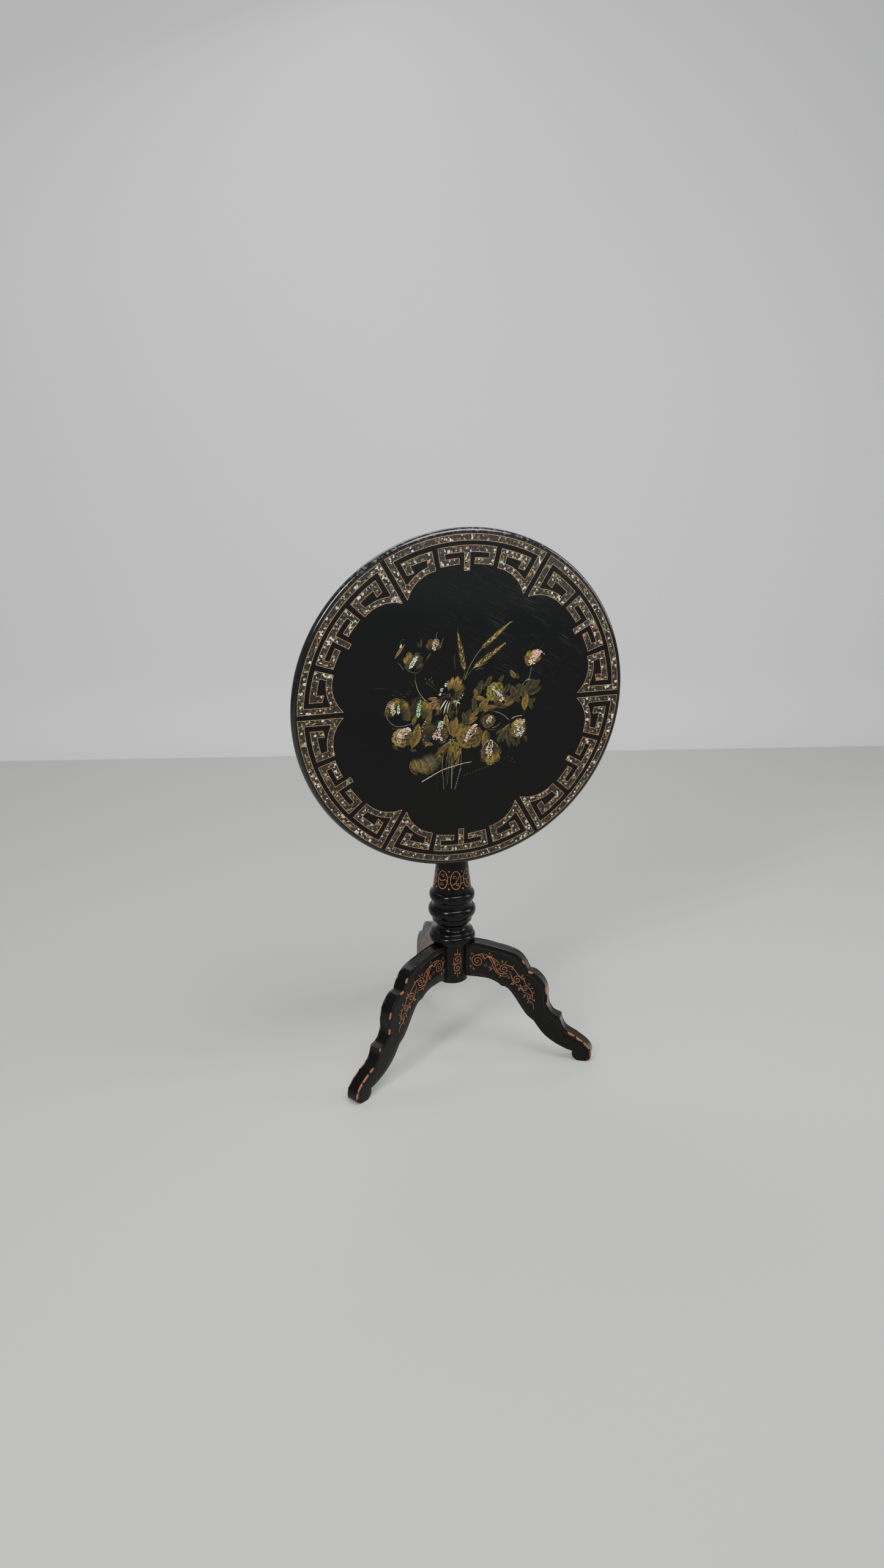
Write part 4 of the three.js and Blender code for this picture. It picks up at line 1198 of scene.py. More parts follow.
def paint_middle(p):
    """The dark rose, the gold leaves and the rose with the pink streak."""
    p.thicket(-14, -30, 26, 26, 8, 90, 90, 16)
    p.leaf(-78, -42, -60, -22, 9, 1.2, MOSS, OLIVE)
    p.petals(-53, -66, 26, DEEP, ((168, 22, MOSS), (14, 22, OLIVE), (146, 30, MOSS), (34, 30, OLIVE),
                                  (124, 36, MOSS), (54, 36, BROWN), (103, 39, OLIVE), (78, 40, MOSS)), 0.3)
    p.leaf(-74, -60, -54, -67, 7, -1, BROWN, GOLD)
    p.shells(-42.5, -35, 8.5, 4.6, 78, (LEEK, SHELL, SHELL, LEEK), 0, 1.5, 0.8)
    p.shells(-49, -50, 11, 6.4, 58, (ROSE, (0.72, 0.34, 0.27), (0.62, 0.26, 0.2), SHELL, BROWN), 0, 1.5,
             0.82)
    p.shells(-41, -56, 8, 2.0, 100, (SHELL, ROSE), 0, 1.5, 0.7)
    for x, y in ((-72, -28), (-73.5, -34), (-74.5, -40), (-71, -50), (-73, -56), (-68, -62), (-70, -24)):
        p.pearl.dot(x, y, 0.9, 0.4, p.near(PALE))
    p.line([(-34, -18), (-29, -30), (-31, -44), (-35, -52)], 1.4, GOLD, 0.4)
    p.leaf(-30, -36, -33, -14, 9, 1, OLIVE, TAN)
    p.leaf(-62, -62, -70, -70, 4, 0, GOLD, TAN, False)
    p.leaves(1.2, (
        (-19, -58, -13, -20, 14, BROWN, GOLD), (-19, -58, -1, -32, 13, BROWN, GOLD),
        (-22, -54, -23, -26, 9, OLIVE, GOLD), (9, -36, 12, -8, 10, MOSS, OLIVE),
        (8, -32, 21, -14, 9, BROWN, OLIVE), (8, -36, 26, -24, 8, BROWN, ORANGE),
        (5, -32, -2, -12, 8, MOSS, OLIVE), (28, -6, 14, -26, 8, OLIVE, BROWN),
        (42, -48, 37, -80, 12, OLIVE, GOLD), (43, -50, 47, -70, 7, MOSS, OLIVE),
        (33, -48, 20, -40, 6, MOSS, OLIVE),
    ))
    p.rose(12, -59, 24, 21, 20, GOLD, BROWN, 9, (3, 3), 190)
    path = [(24, -37), (17, -41), (11, -49), (7, -58), (4, -67)]
    for shift in (-2.0, -0.8, 0.5, 1.8):
        for (x0, y0), (x1, y1) in zip(path, path[1:]):
            for a, b in ((0.0, 0.48), (0.52, 0.98)):
                tint = p.rng.choice((SHELL, ROSE, RUST, AMBER, SHELL))
                ends = [(x0 + (x1 - x0) * s + shift, y0 + (y1 - y0) * s - shift * 0.4) for s in (a, b)]
                p.stroke(ends, 1.5, tint, 0.55, pearl=True)
    p.shells(16, -54, 12, 4.5, 52, (SHELL, ROSE, AMBER, BROWN), 0, 1.5, 0.5)
    p.rose(46, -33, 12.5, 12.5, 0, BROWN, OLIVE, 8, (1, 0))
    p.shells(47, -32, 6.5, 5.2, 64, (SHELL, PALE, PALE, AMBER), 0, 1.5, 0.62)
    p.line([(58, -18), (49, -13.5), (38, -17), (32, -25), (33, -34), (40, -43), (50, -49), (60, -50)], 1.0,
           OLIVE, 0.7)
    p.line([(53, -46), (62, -44), (68, -38)], 0.9, GOLD, 0.5)
    p.line([(58, -17), (66, -20), (74, -25), (85, -35)], 1.1, GREY, 0.8)
    p.gilt.dot(-21, -64, 2.6, 0.6, p.near(DEEP))
    for a in range(7):
        turn = math.radians(30 + a * 50)
        p.leaf(-21, -64, -21 + 7 * math.cos(turn), -64 + 6 * math.sin(turn), 1.5, 0.3, GREY, PALE, False)


def paint_lower_right(p):
    """The orange bud and the rose low on the right."""
    p.petals(51, -69, 26, DEEP, ((-124, 30, OLIVE), (-56, 32, OLIVE), (-108, 40, BROWN), (-72, 42, GOLD),
                                 (-90, 45, GOLD)), 0.2)
    p.shells(49.5, -86, 17, 5.6, 84, (SHELL, SHELL, AMBER, AMBER, ROSE, BROWN), 0, 1.5, 0.8)
    p.shells(43, -88, 7, 1.6, 84, (LEEK, SHELL), 0, 1.5, 0.8)
    p.line([(48, -68), (38, -78), (36, -94), (48, -113)], 1.0, PALE, 0.5)
    p.line([(52, -68), (65, -82), (64, -98), (50, -114)], 0.9, TAN, 0.6)
    p.thicket(74, -62, 18, 16, 5, 260, 50, 16)
    p.leaves(1.4, (
        (88, -40, 62, -72, 11, MOSS, OLIVE), (86, -42, 70, -54, 7, OLIVE, GOLD),
        (80, -44, 86, -86, 12, MOSS, OLIVE), (76, -56, 72, -76, 6, MOSS, OLIVE),
        (90, -68, 96, -84, 7, MOSS, OLIVE), (104, -68, 100, -86, 7, MOSS, MOSS),
        (112, -66, 120, -78, 6, MOSS, OLIVE),
    ))
    p.rose(102, -52, 15.5, 18, 10, GOLD, OLIVE, 8)
    p.shells(102, -42, 11, 6.5, 15, (AMBER, SHELL, AMBER, ORANGE, TAN), 0, 1.5, 0.76)
    p.shells(104, -58, 10, 9, 62, (LEEK, SHELL, SHELL, PALE, (0.62, 0.95, 0.6), OLIVE), 0, 1.5, 0.76)
    p.line([(89, -32), (98, -29), (109, -28.5)], 1.0, PALE, 0.6)
    p.line([(116, -40), (119, -52), (114, -66)], 0.8, MOSS)


def paint_base(p):
    """The large leaf, the twig across the stems, and the cut stems below."""
    dark = (0.060, 0.066, 0.040)
    p.hatch(-62, -101, 20, 24, -62, (OLIVE, (0.15, 0.12, 0.035), OLIVE, dark, MOSS, OLIVE), 1.5, 2.6)
    p.hatch(-87, -103, 15, 9, -70, (dark, BROWN, GOLD, BROWN), 1.0, 2.4)
    p.hatch(-80, -100, 13, 6.5, -66, (GREY, MOSS, dark, GREY), 0, 1.5)
    for k in range(7):
        x, y = -42 - k * 3.0, -86 - k * 2.6
        p.line([(x, y), (x - 4.5, y - 7.5)], 0.6, TAN, 0.4, 0.42)
        p.line([(x - 8, y + 2), (x - 13, y - 6)], 0.5, OLIVE, 0.4, 0.42)
    p.line([(-95, -94), (-97, -104), (-92, -114), (-84, -119)], 1.1, GOLD, 0.6, 0.42)
    p.line([(-38, -88), (-41, -100), (-50, -112), (-60, -119)], 0.9, OLIVE, 0.6, 0.42)
    p.thicket(-20, -88, 14, 12, 5, 265, 30, 16)
    p.leaves(0.8, (
        (-22, -64, -50, -86, 10, OLIVE, GOLD), (-24, -66, -38, -88, 9, MOSS, OLIVE),
        (-24, -64, -24, -94, 10, BROWN, GOLD), (-18, -64, -8, -80, 7, OLIVE, GOLD),
        (-30, -70, -48, -78, 7, MOSS, OLIVE), (-16, -66, -14, -100, 8, OLIVE, GOLD),
        (-4, -76, -12, -98, 6, BROWN, GOLD), (-6, -94, -17, -115, 6, OLIVE, BROWN),
        (-26, -78, -28, -102, 7, MOSS, OLIVE),
    ))
    for points, width, tint in (
        ([(-36, -84), (-38, -110), (-36, -130), (-34, -152)], 0.9, GREY),
        ([(-30, -90), (-30, -115), (-28, -144)], 1.1, OLIVE),
        ([(-27, -84), (-26, -112), (-28, -143)], 0.8, BROWN),
        ([(-20, -95), (-20, -120), (-20, -152)], 1.3, (0.30, 0.27, 0.19)),
        ([(-16, -90), (-18, -118), (-20, -140)], 0.8, OLIVE),
        ([(-48, -106), (-46, -128), (-46, -150)], 0.6, MOSS),
        ([(-4, -80), (-3, -100), (-5, -122)], 0.7, GREY),
    ):
        p.line(points, width, tint, 0.6)
    for k in range(9):
        x, y = -4 - k * 1.1, -116 - k * 4.3
        p.leaf(x, y, x - 1.4, y - 3.4, 1.5, 0, GREY, GREY, False)
        p.line([(x, y), (x + 2.4, y - 1.6)], 0.4, GREY)
    twig = [(-75, -133.5), (-60, -126), (-50, -121), (-36, -115), (-20, -111), (0, -107), (16, -105.5)]
    p.line(twig, 1.8, (0.36, 0.30, 0.22), 0.6, 0.6)
    p.line([(x + 0.6, y - 0.7) for x, y in twig], 0.8, DEEP, 0.6, 0.5)
    for k in range(11):
        x, y = 1 + k * 5.6, -130 + k * 1.65
        p.leaf(x, y, x + 3.6, y + 0.9, 1.1, 0, OLIVE, MOSS, False)
        p.line([(x + 1, y), (x + 2.2, y - 3.0)], 0.4, MOSS)
    for x, y in ((78, -106), (84, -109), (90, -112), (97, -114), (86, -103), (93, -107), (72, -112)):
        p.gilt.dot(x, y, 1.2, 0.2, p.near(MOSS))


class TABLE_OT_bouquet(bpy.types.Operator):
    """Paints the bouquet on the middle of the top, in gilt relief and in pearl"""

    bl_idname = "table.bouquet"
    bl_label = "Bouquet"

    def execute(self, context):
        p = Painter(context.scene.table_top.seed + 5)
        for part in (paint_base, paint_upper_right, paint_left_tendril, paint_wheat, paint_upper_left,
                     paint_left_roses, paint_right_rose, paint_daisy, paint_lower_right, paint_middle):
            part(p)
        gilt = p.gilt.build("bouquet_gilt", face_placement(), "top", tinted("gilt_paint", 0.5, 0.15, 240.0))
        shell = p.pearl.build("bouquet_pearl", face_placement(), "top", pearl("pearl_petals"))
        return {"FINISHED"}


# ---------------------------------------------------------------- pillar


PILLAR_TOP = 652.9
HUB_TOP = 226.8


def pillar_profile(hub):
    """The pillar's turned outline, from its foot up to the tenon."""
    cone = [(36.2, 333), (34.4, 345), (32.6, 358), (31.4, 369), (30.4, 380), (29.5, 402)]
    profile = [(0, 148), (hub - 1.2, 148), (hub - 0.3, 148.5), (hub, 149.6), (hub, HUB_TOP)]
    profile += swelling((38, HUB_TOP), (39, 243.6), 44.2)
    profile += [(40.1, 244.4), (40.3, 246), (39.6, 248.2), (37.6, 249.8), (34.4, 251), (31.5, 252.8),
                (29.4, 255.4), (28.7, 258.5), (29.1, 261.6), (30.5, 264.5), (33.2, 266.6), (36.6, 268),
                (37.5, 269.2), (37.3, 273.5), (37.5, 276.4)]
    profile += swelling((37.5, 278), (38.2, 299.5), 44.7)
    profile += [(37.6, 301), (37.2, 304.5), (37.6, 308)]
    profile += swelling((38.2, 310), (36.4, 328.5), 42.7)
    profile += [(36.8, 329.4), (36.9, 331.4), (36.3, 332.2)]
    profile += cone + [(28.4, 437), (27.4, 470), (26.4, 505), (25.4, 540)]
    profile += swelling((25.2, 546), (25.2, 560), 31.4)
    profile += [(24.4, 563), (23.4, 572), (22.5, 583), (22.6, 596), (24.2, 612)]
    profile += swelling((25.6, 618), (26.5, 630), 31)
    profile += [(27.4, 632), (29.8, 636.5), (33.2, 640.2), (34.8, 643), (36.0, 648), (36.2, PILLAR_TOP)]
    profile += [(17, PILLAR_TOP), (17, 673.6), (16.2, 674.6), (0, 674.6)]
    return profile


def prism(outline, low, high):
    """An upright prism over an outline, as points and faces."""
    n = len(outline)
    verts = [(x, y, low) for x, y in outline] + [(x, y, high) for x, y in outline]
    faces = [tuple(reversed(range(n))), tuple(range(n, 2 * n))]
    faces += [(k, (k + 1) % n, n + (k + 1) % n, n + k) for k in range(n)]
    return verts, faces


def dovetail(hub, room):
    """The dovetail's plan, wider inside the hub than at its surface."""
    inner, outer = hub - 12 - room, hub + 1.5
    wide = 8.5 + room
    narrow = wide - (outer - inner) / 6
    return [(inner, -wide), (outer, -narrow), (outer, narrow), (inner, wide)]


def cutter(verts, faces, placement):
    """A tool that a boolean takes away, removed afterwards."""
    return place_object("cutter", closed_mesh("cutter", verts, faces), placement)


def take_away(obj, tools):
    """Cuts the tools out of a piece for good, and removes them."""
    bpy.context.view_layer.update()
    for tool in tools:
        step = obj.modifiers.new("cut", "BOOLEAN")
        step.operation = "DIFFERENCE"
        step.solver = "EXACT"
        step.object = tool
    graph = bpy.context.evaluated_depsgraph_get()
    result = bpy.data.meshes.new_from_object(obj.evaluated_get(graph), preserve_all_data_layers=True,
                                             depsgraph=graph)
    obj.modifiers.clear()
    obj.data = result
    for tool in tools:
        bpy.data.objects.remove(tool)


def spiral(cx, cy, radius, turns, start, hand=1, inner=0.14):
    """A coil from its outside in. start is where it begins, in degrees; hand is which way it winds."""
    count = max(8, round(turns * 18))
    path = []
    for i in range(count + 1):
        t = i / count
        a = math.radians(start) + hand * 2 * math.pi * turns * t
        r = radius * ((1 - t) + inner * t)
        path.append((cx + r * math.cos(a), cy + r * math.sin(a)))
    return path


class Vine:
    """Painted copper scrolls on one surface."""

    def __init__(self, place, width, tint, seed):
        self.relief = Relief(place, 0.3)
        self.width = width
        self.tint = tint
        self.rng = random.Random(seed)

    def shade(self):
        s = self.rng.uniform(0.75, 1.2)
        return tuple(min(1, c * s) for c in self.tint)

    def stroke(self, points, share=1.0, step=1.5):
        path = spline(points, step) if len(points) < 12 else points
        width = self.width * share
        self.relief.ribbon(path, lambda t: width * (0.45 + 0.55 * math.sin(math.pi * (0.15 + 0.8 * t))),
                           0.2, self.shade())

    def coil(self, cx, cy, radius, turns, start, hand=1, share=1.0):
        self.stroke(spiral(cx, cy, radius, turns, start, hand), share)
        self.relief.dot(cx, cy, self.width * 0.75, 0.25, self.shade(), 8)

    def curl(self, x, y, radius, start, hand=1):
        """A small side curl."""
        self.stroke(spiral(x, y, radius, 1.0, start, hand, 0.3), 0.7)

    def drop(self, x0, y0, x1, y1, width):
        path = spline([(x0, y0), (x1, y1)], max(0.8, math.dist((x0, y0), (x1, y1)) / 5))
        self.relief.ribbon(path, lambda t: max(0.2, width * 0.5 * math.sin(math.pi * (0.1 + 0.85 * t))),
                           0.22, self.shade())


class TABLE_OT_pillar(bpy.types.Operator):
    """Builds the turned pillar with its dovetail slots, and paints its ovals and hub scrolls"""

    bl_idname = "table.pillar"
    bl_label = "Pillar"

    def execute(self, context):
        s = context.scene.table_stand
        colours = context.scene.table_colours
        hub = s.hub_radius / MM
        material = black_stand(colours)
        profile = pillar_profile(hub)
        verts, faces = lathe(profile, s.segments)
        proud = [max(0.0, (math.hypot(x, y) - 40.5) / 4.2) * 0.42 for x, y, _ in verts]
        pillar = build("pillar_turned", verts, faces, PILLAR_PLACEMENT, "stand", material, values=proud,
                       sharp=40)
        slot = prism(dovetail(hub, 0.3), 147, 222)
        tools = [cutter(*slot, leg_placement(turn)) for turn in LEG_TURNS.values()]
        saw_cut = [(-15.6, -2.3), (15.6, -2.3), (15.6, 2.3), (-15.6, 2.3)]
        across = Matrix.Rotation(math.radians(90), 4, "Z")
        tools.append(cutter(*prism(saw_cut, 653.6, 676), PILLAR_PLACEMENT @ across))
        take_away(pillar, tools)
        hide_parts("pillar")
        copper = tinted("copper_paint", 0.45, 0.2, 380.0)
        self.ovals(s, colours, copper)
        self.hub_scrolls(s, colours, copper, hub)
        return {"FINISHED"}

    def ovals(self, s, colours, copper):
        """The chain of upright ovals round the foot of the shaft."""
        heights = [333, 345, 358, 369, 380]
        radii = [36.2, 34.4, 32.6, 31.4, 30.4]
        reference = 33.2

        def place(x, y, h):
            r = float(np.interp(y, heights, radii)) + h
            a = x / reference
            return (r * math.sin(a), -r * math.cos(a), y)

        vine = Vine(place, s.scroll_line / MM, tuple(colours.copper), 3)
        pitch = 2 * math.pi * reference / 8
        for k in range(8):
            x = reference * math.radians(-6) + k * pitch
            y = 357.5
            turns = np.linspace(0, 2 * math.pi, 40)[:-1]
            ring = [(x + 10.2 * math.cos(a), y + 17 * math.sin(a)) for a in turns]
            vine.relief.ribbon(ring, vine.width * 0.95, 0.22, vine.shade(), closed=True)
            if k % 2:
                vine.stroke([(x - 9.5, y + 2), (x - 5, y - 1.5), (x + 1, y - 1), (x + 6, y + 1),
                             (x + 9.5, y - 2)], 0.9)
                vine.curl(x + 1, y + 7.5, 3.6, 200, -1)
                vine.curl(x - 1, y - 7.5, 3.4, 20, -1)
            else:
                vine.stroke([(x - 8.4, y - 9), (x - 3, y - 7), (x + 2, y - 1), (x + 6, y + 6),
                             (x + 8, y + 10)], 0.9)
                vine.curl(x - 3.0, y + 5.5, 4.0, -40, 1)
                vine.curl(x + 3.2, y - 7.5, 3.2, 140, 1)
            for up, size, height, sides in ((-16.5, 1.5, 0.25, 10), (16.5, 1.5, 0.25, 10),
                                            (6.5, 0.8, 0.2, 8), (-6.5, 0.8, 0.2, 8)):
                vine.relief.dot(x + pitch / 2, y + up, size, height, vine.shade(), sides)
        obj = vine.relief.build("pillar_ovals", PILLAR_PLACEMENT, "stand", copper)

    def hub_scrolls(self, s, colours, copper, hub):
        """An upright pair of coils on the hub between each two legs."""

        def place(x, y, h):
            r = hub + h
            return (r * math.sin(x / hub), -r * math.cos(x / hub), y)

        vine = Vine(place, s.scroll_line / MM, tuple(colours.copper), 4)
        for third in range(3):
            x = hub * math.radians(120 * third)
            vine.coil(x + 0.6, 197, 7.6, 1.45, -80, 1, 0.95)
            vine.coil(x + 0.2, 179, 8.0, 1.5, 95, 1, 0.95)
            vine.stroke([(x - 6, 201), (x - 7.5, 194), (x - 3, 188.5), (x + 4, 187.5), (x + 8, 183),
                         (x + 7.6, 177)], 0.65)
            vine.stroke([(x - 7.5, 186), (x - 3, 188), (x + 2, 190)], 0.55)
            for across, y, r, start, hand in (
                (-4, 207, 2.6, -30, 1), (4.5, 206, 2.2, 200, -1), (-7.6, 187.5, 2.0, 0, 1),
                (7.0, 189.5, 2.0, 200, -1), (-4.0, 168.8, 2.2, 60, 1), (4.0, 168.2, 2.2, 120, -1),
            ):
                vine.curl(x + across, y, r, start, hand)
            vine.drop(x, 206, x, 216, 1.8)
            vine.drop(x, 170, x, 160, 1.8)
            vine.relief.dot(x, 217.5, 0.8, 0.2, vine.shade(), 8)
        obj = vine.relief.build("hub_scrolls", PILLAR_PLACEMENT, "stand", copper)


# ---------------------------------------------------------------- legs


# the leg's outline between its cusps: [distance from the pillar's axis, height]
UPPER_RUNS = (
    ((31.9, 226.4), (46, 226.4)),
    ((46, 226.4), (67, 224.3), (88, 219.9), (109, 215.4), (126, 208.3), (138.6, 197), (149, 177)),
    ((149, 177), (160, 173.4), (172.3, 163), (181.6, 148), (184.8, 132), (185.2, 118), (188.6, 104),
     (197, 92.6), (210.8, 87)),
    ((210.8, 87), (212.2, 78.5), (216.6, 67.6), (223.4, 60), (238, 52), (253, 42), (265.4, 30.6),
     (271.0, 17), (269.2, 5.5), (262, 0)),
)
LOWER_RUNS = (
    ((31.9, 157), (51.2, 157)), ((51.2, 157), (72.2, 155.4), (88.8, 149), (97, 142.4)),
    ((97, 142.4), (105.6, 140.6), (114.4, 133.2), (124.8, 118.5), (135.5, 101.3), (146.6, 86), (160, 75)),
    ((160, 75), (169.6, 60.4), (182.5, 45.8), (199.4, 33.5), (220.5, 23), (234.2, 18.6)),
    ((234.2, 18.6), (234, 12), (237, 5.4), (244, 0)),
)
# places on the upper and the lower edge that face each other
FACING = (
    ((31.9, 226.4), (31.9, 157)), ((67, 224.3), (62, 156.4)), ((109, 215.4), (97, 142.4)),
    ((149, 177), (114.4, 133.2)), ((184.8, 132), (138, 97)), ((193, 97), (160, 75)),
    ((210.8, 87), (182.5, 45.8)), ((238, 52), (220.5, 23)), ((256, 40), (234.2, 18.6)),
    ((270, 24), (234, 12)), ((262, 0), (244, 0)),
)


def edge_between(dense, start, end, count):
    """The stretch of an edge between two places, evenly divided."""
    points = np.array(dense)
    first = int(np.argmin(np.linalg.norm(points - start, axis=1)))
    last = int(np.argmin(np.linalg.norm(points - end, axis=1)))
    part = points[first : last + 1]
    along = np.concatenate([[0], np.cumsum(np.linalg.norm(np.diff(part, axis=0), axis=1))])
    wanted = np.linspace(0, along[-1], count + 1)
    return [tuple(float(np.interp(w, along, part[:, k])) for k in (0, 1)) for w in wanted]


def leg_stations():
    """Facing pairs of points down the leg's upper and lower edges."""
    upper = joined(*[spline(run, 0.8) for run in UPPER_RUNS])
    lower = joined(*[spline(run, 0.8) for run in LOWER_RUNS])
    pairs = []
    for (up0, low0), (up1, low1) in zip(FACING, FACING[1:]):
        count = max(3, round(math.dist(up0, up1) / 3.0))
        ups = edge_between(upper, up0, up1, count)
        lows = edge_between(lower, low0, low1, count)
        pairs += list(zip(ups, lows))[(1 if pairs else 0) :]
    return pairs


def leg_section(half, depth):
    """One side of the leg's section, from the middle of its upper face round to the middle below."""
    return (
        (0.0, 0.55), (half * 0.36, 0.55), (half * 0.66, 0.5), (half * 0.71, 1.1), (half * 0.76, 0.5),
        (half * 0.82, 0.05), (half * 0.89, 0.0), (half * 0.96, 0.35), (half, 1.3), (half, 7.4),
        (half - 0.45, 7.9), (half, 8.4), (half, depth * 0.7), (half, depth - 1.6),
        (half - 0.5, depth - 0.5), (half - 1.7, depth), (half * 0.5, depth),
    )


LEG_LINE_SHARE = 0.75  # the scrolls on the legs are drawn finer than those on the pillar
# where the lacquer is worn through: [distance from the pillar's axis, height, reach]
RUBBED = ((139, 195, 9), (152, 175, 9), (184, 142, 13), (185, 112, 9), (211, 85, 7), (232, 55, 12),
          (248, 45, 14), (263, 32, 15), (270, 17, 15), (264, 3, 10))


def rubbed(x, z, edge):
    """How far the lacquer is rubbed off: along the edges, most at the knee, the shin and the toe."""
    nearest = max(math.exp(-((x - cx) ** 2 + (z - cz) ** 2) / (size * size)) for cx, cz, size in RUBBED)
    return edge * (0.05 + 0.95 * nearest)


def edge_wear(s, d, half, depth):
    """How exposed a point of the section is: most at the upper corners, some along the lower ones."""
    if d < 1.5:
        return 1.0 if abs(s) > half * 0.80 else 0.4
    return 0.5 if d > depth - 1.7 and abs(s) > half - 2 else 0.12


def leg_mesh(half, hub):
    """The leg's body as a stack of moulded sections, with its dovetail."""
    verts, faces, wear = [], [], []
    stations = leg_stations()
    for i, (up, low) in enumerate(stations):
        depth = math.dist(up, low)
        dx, dz = (low[0] - up[0]) / depth, (low[1] - up[1]) / depth
        side = leg_section(half, depth)
        ring = list(side) + [(0.0, depth)] + [(-s, d) for s, d in reversed(side[1:])]
        for s, d in ring:
            x, z = up[0] + dx * d, up[1] + dz * d
            if i == 0:
                x = math.sqrt((hub + 0.3) ** 2 - s * s)
            verts.append((x, s, z))
            wear.append(rubbed(x, z, edge_wear(s, d, half, depth)))
    n = len(verts) // len(stations)
    for i in range(len(stations) - 1):
        a, b = i * n, (i + 1) * n
        faces += [(a + k, a + (k + 1) % n, b + (k + 1) % n, b + k) for k in range(n)]
    faces += [tuple(range(n)), tuple((len(stations) - 1) * n + k for k in reversed(range(n)))]
    base = len(verts)
    plan = dovetail(hub, 0.0)
    plan[1:3] = [(hub + 0.8, -7.0), (hub + 0.8, 7.0)]
    tongue, walls = prism(plan, 158, 221.4)
    verts += tongue
    wear += [0.0] * len(tongue)
    faces += [tuple(base + v for v in wall) for wall in walls]
    return verts, faces, wear


def paint_leg_side(vine):
    """The running scroll down one side of a leg, and the fine lines round it."""
    for x, y, radius, turns, start, share in (
        (51.5, 190.5, 13.0, 2.1, 20, 1.1), (102.5, 178.5, 10.0, 1.8, 20, 1.0),
        (127.5, 158.5, 8.6, 1.6, 30, 1.0), (143.0, 141.5, 6.8, 1.45, 30, 0.9),
        (151.5, 124.5, 5.8, 1.35, 40, 0.85),
    ):
        vine.coil(x, y, radius, turns, start, 1, share)
    for share, path in (
        (1.2, [(64.5, 195), (72, 201), (80, 196), (85, 184), (90, 172), (99, 168), (108, 169.5)]),
        (1.0, [(52, 204), (64, 205.5), (75, 201), (86, 196), (92, 190), (94, 184)]),
        (0.9, [(70, 203), (78, 192), (82, 180), (88, 170), (96, 164.5), (106, 163.5), (112, 168)]),
        (1.1, [(109, 187), (117, 184), (124, 176), (130, 168), (136, 161)]),
        (1.1, [(112, 176), (116, 166), (120, 154), (128, 147), (136, 147)]),
        (1.0, [(134, 166), (140, 160), (143, 152), (148, 147)]),
        (0.9, [(133, 150), (136, 140), (142, 133), (149, 132)]),
        (0.9, [(149, 145), (154, 138), (157, 129), (156, 120)]),
        (0.9, [(147, 121), (151, 116), (157, 112), (160, 104)]),
    ):
        vine.stroke(path, share)
    for x, y, r, start, hand in (
        (66, 183, 4.0, 90, -1), (76, 180.5, 3.4, 180, 1), (84, 193, 3.0, 0, -1), (89, 186.5, 2.6, 180, 1),
        (41, 203.5, 3.4, -60, 1), (38.5, 179, 3.0, 60, -1), (44, 172.5, 2.6, 160, -1),
        (98, 193, 2.8, 250, 1), (111, 162.0, 2.8, 60, -1), (118, 181, 2.8, 200, 1),
        (118.5, 149.5, 2.8, 80, -1), (137, 168, 2.4, 200, 1), (131, 141.5, 2.6, 60, -1),
        (150, 152, 2.4, 200, 1), (141.5, 128.5, 2.2, 60, -1), (158.5, 135.5, 2.0, 220, 1),
        (148, 113.5, 2.0, 60, -1), (159.5, 119, 1.8, 220, 1), (92, 176, 2.4, 30, 1), (74, 208, 2.0, 250, 1),
    ):
        vine.curl(x, y, r, start, hand)
    for x0, y0, x1, y1, w in (
        (66, 196, 60, 205, 2.4), (73, 199, 80, 204, 2.2), (80, 178, 74, 172, 2.2),
        (116, 182, 121, 188, 2.0), (120, 152, 114, 147, 2.0), (137, 160, 143, 164, 1.8),
        (134, 141, 129, 136, 1.8), (152, 142, 158, 144, 1.6), (144, 127, 139, 122, 1.6),
        (157, 120, 162, 117, 1.4), (160, 106, 159.5, 99, 1.5), (40, 192, 36, 197, 1.8),
        (96, 165, 94, 159, 1.8), (103, 190, 108, 195, 1.8),
    ):
        vine.drop(x0, y0, x1, y1, w)


def paint_leg_lines(vine):
    """Fine lines along both edges of the side, closed by an upright at the hub."""
    stations = leg_stations()
    upper, lower = [], []
    for up, low in stations:
        depth = math.dist(up, low)
        dx, dz = (low[0] - up[0]) / depth, (low[1] - up[1]) / depth
        inset = 8.6 if up[1] > 88 else max(3.2, 8.6 * (up[1] / 88) ** 1.5)
        if up[0] > 37 and not (up[0] > 262 and up[1] < 14):
            upper.append((up[0] + dx * inset, up[1] + dz * inset))
        if 37 < low[0] < 159:
            lower.append((low[0] - dx * 5.5, low[1] - dz * 5.5))
    dull = tuple(c * 0.16 for c in vine.tint)
    for path in (upper, lower, spline([upper[0], lower[0]], 3)):
        vine.relief.ribbon(path, 0.5, 0.14, dull)


class TABLE_OT_legs(bpy.types.Operator):
    """Builds the three moulded legs with their dovetails, painted scrolls and worn edges"""

    bl_idname = "table.legs"
    bl_label = "Legs"

    def execute(self, context):
        s = context.scene.table_stand
        colours = context.scene.table_colours
        half, hub = s.leg_thickness / MM / 2, s.hub_radius / MM
        black = bpy.data.materials["black_lacquer_stand"]
        copper = bpy.data.materials["copper_paint"]
        verts, faces, wear = leg_mesh(half, hub)
        for name, turn in LEG_TURNS.items():
            leg = build(f"{name}_moulded", verts, faces, leg_placement(turn), "stand", black, values=wear,
                        sharp=32)
            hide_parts(name)
            scrolls = []
            for side in (-1, 1):
                vine = Vine(lambda x, y, h, side=side: (x, side * (half + h), y),
                            s.scroll_line / MM * LEG_LINE_SHARE, tuple(colours.copper), turn + side)
                paint_leg_side(vine)
                paint_leg_lines(vine)
                scrolls.append(vine.relief)
            scrolls[0].take_in(scrolls[1])
            obj = scrolls[0].build(f"{name}_scrolls", leg_placement(turn), "stand", copper)
        return {"FINISHED"}


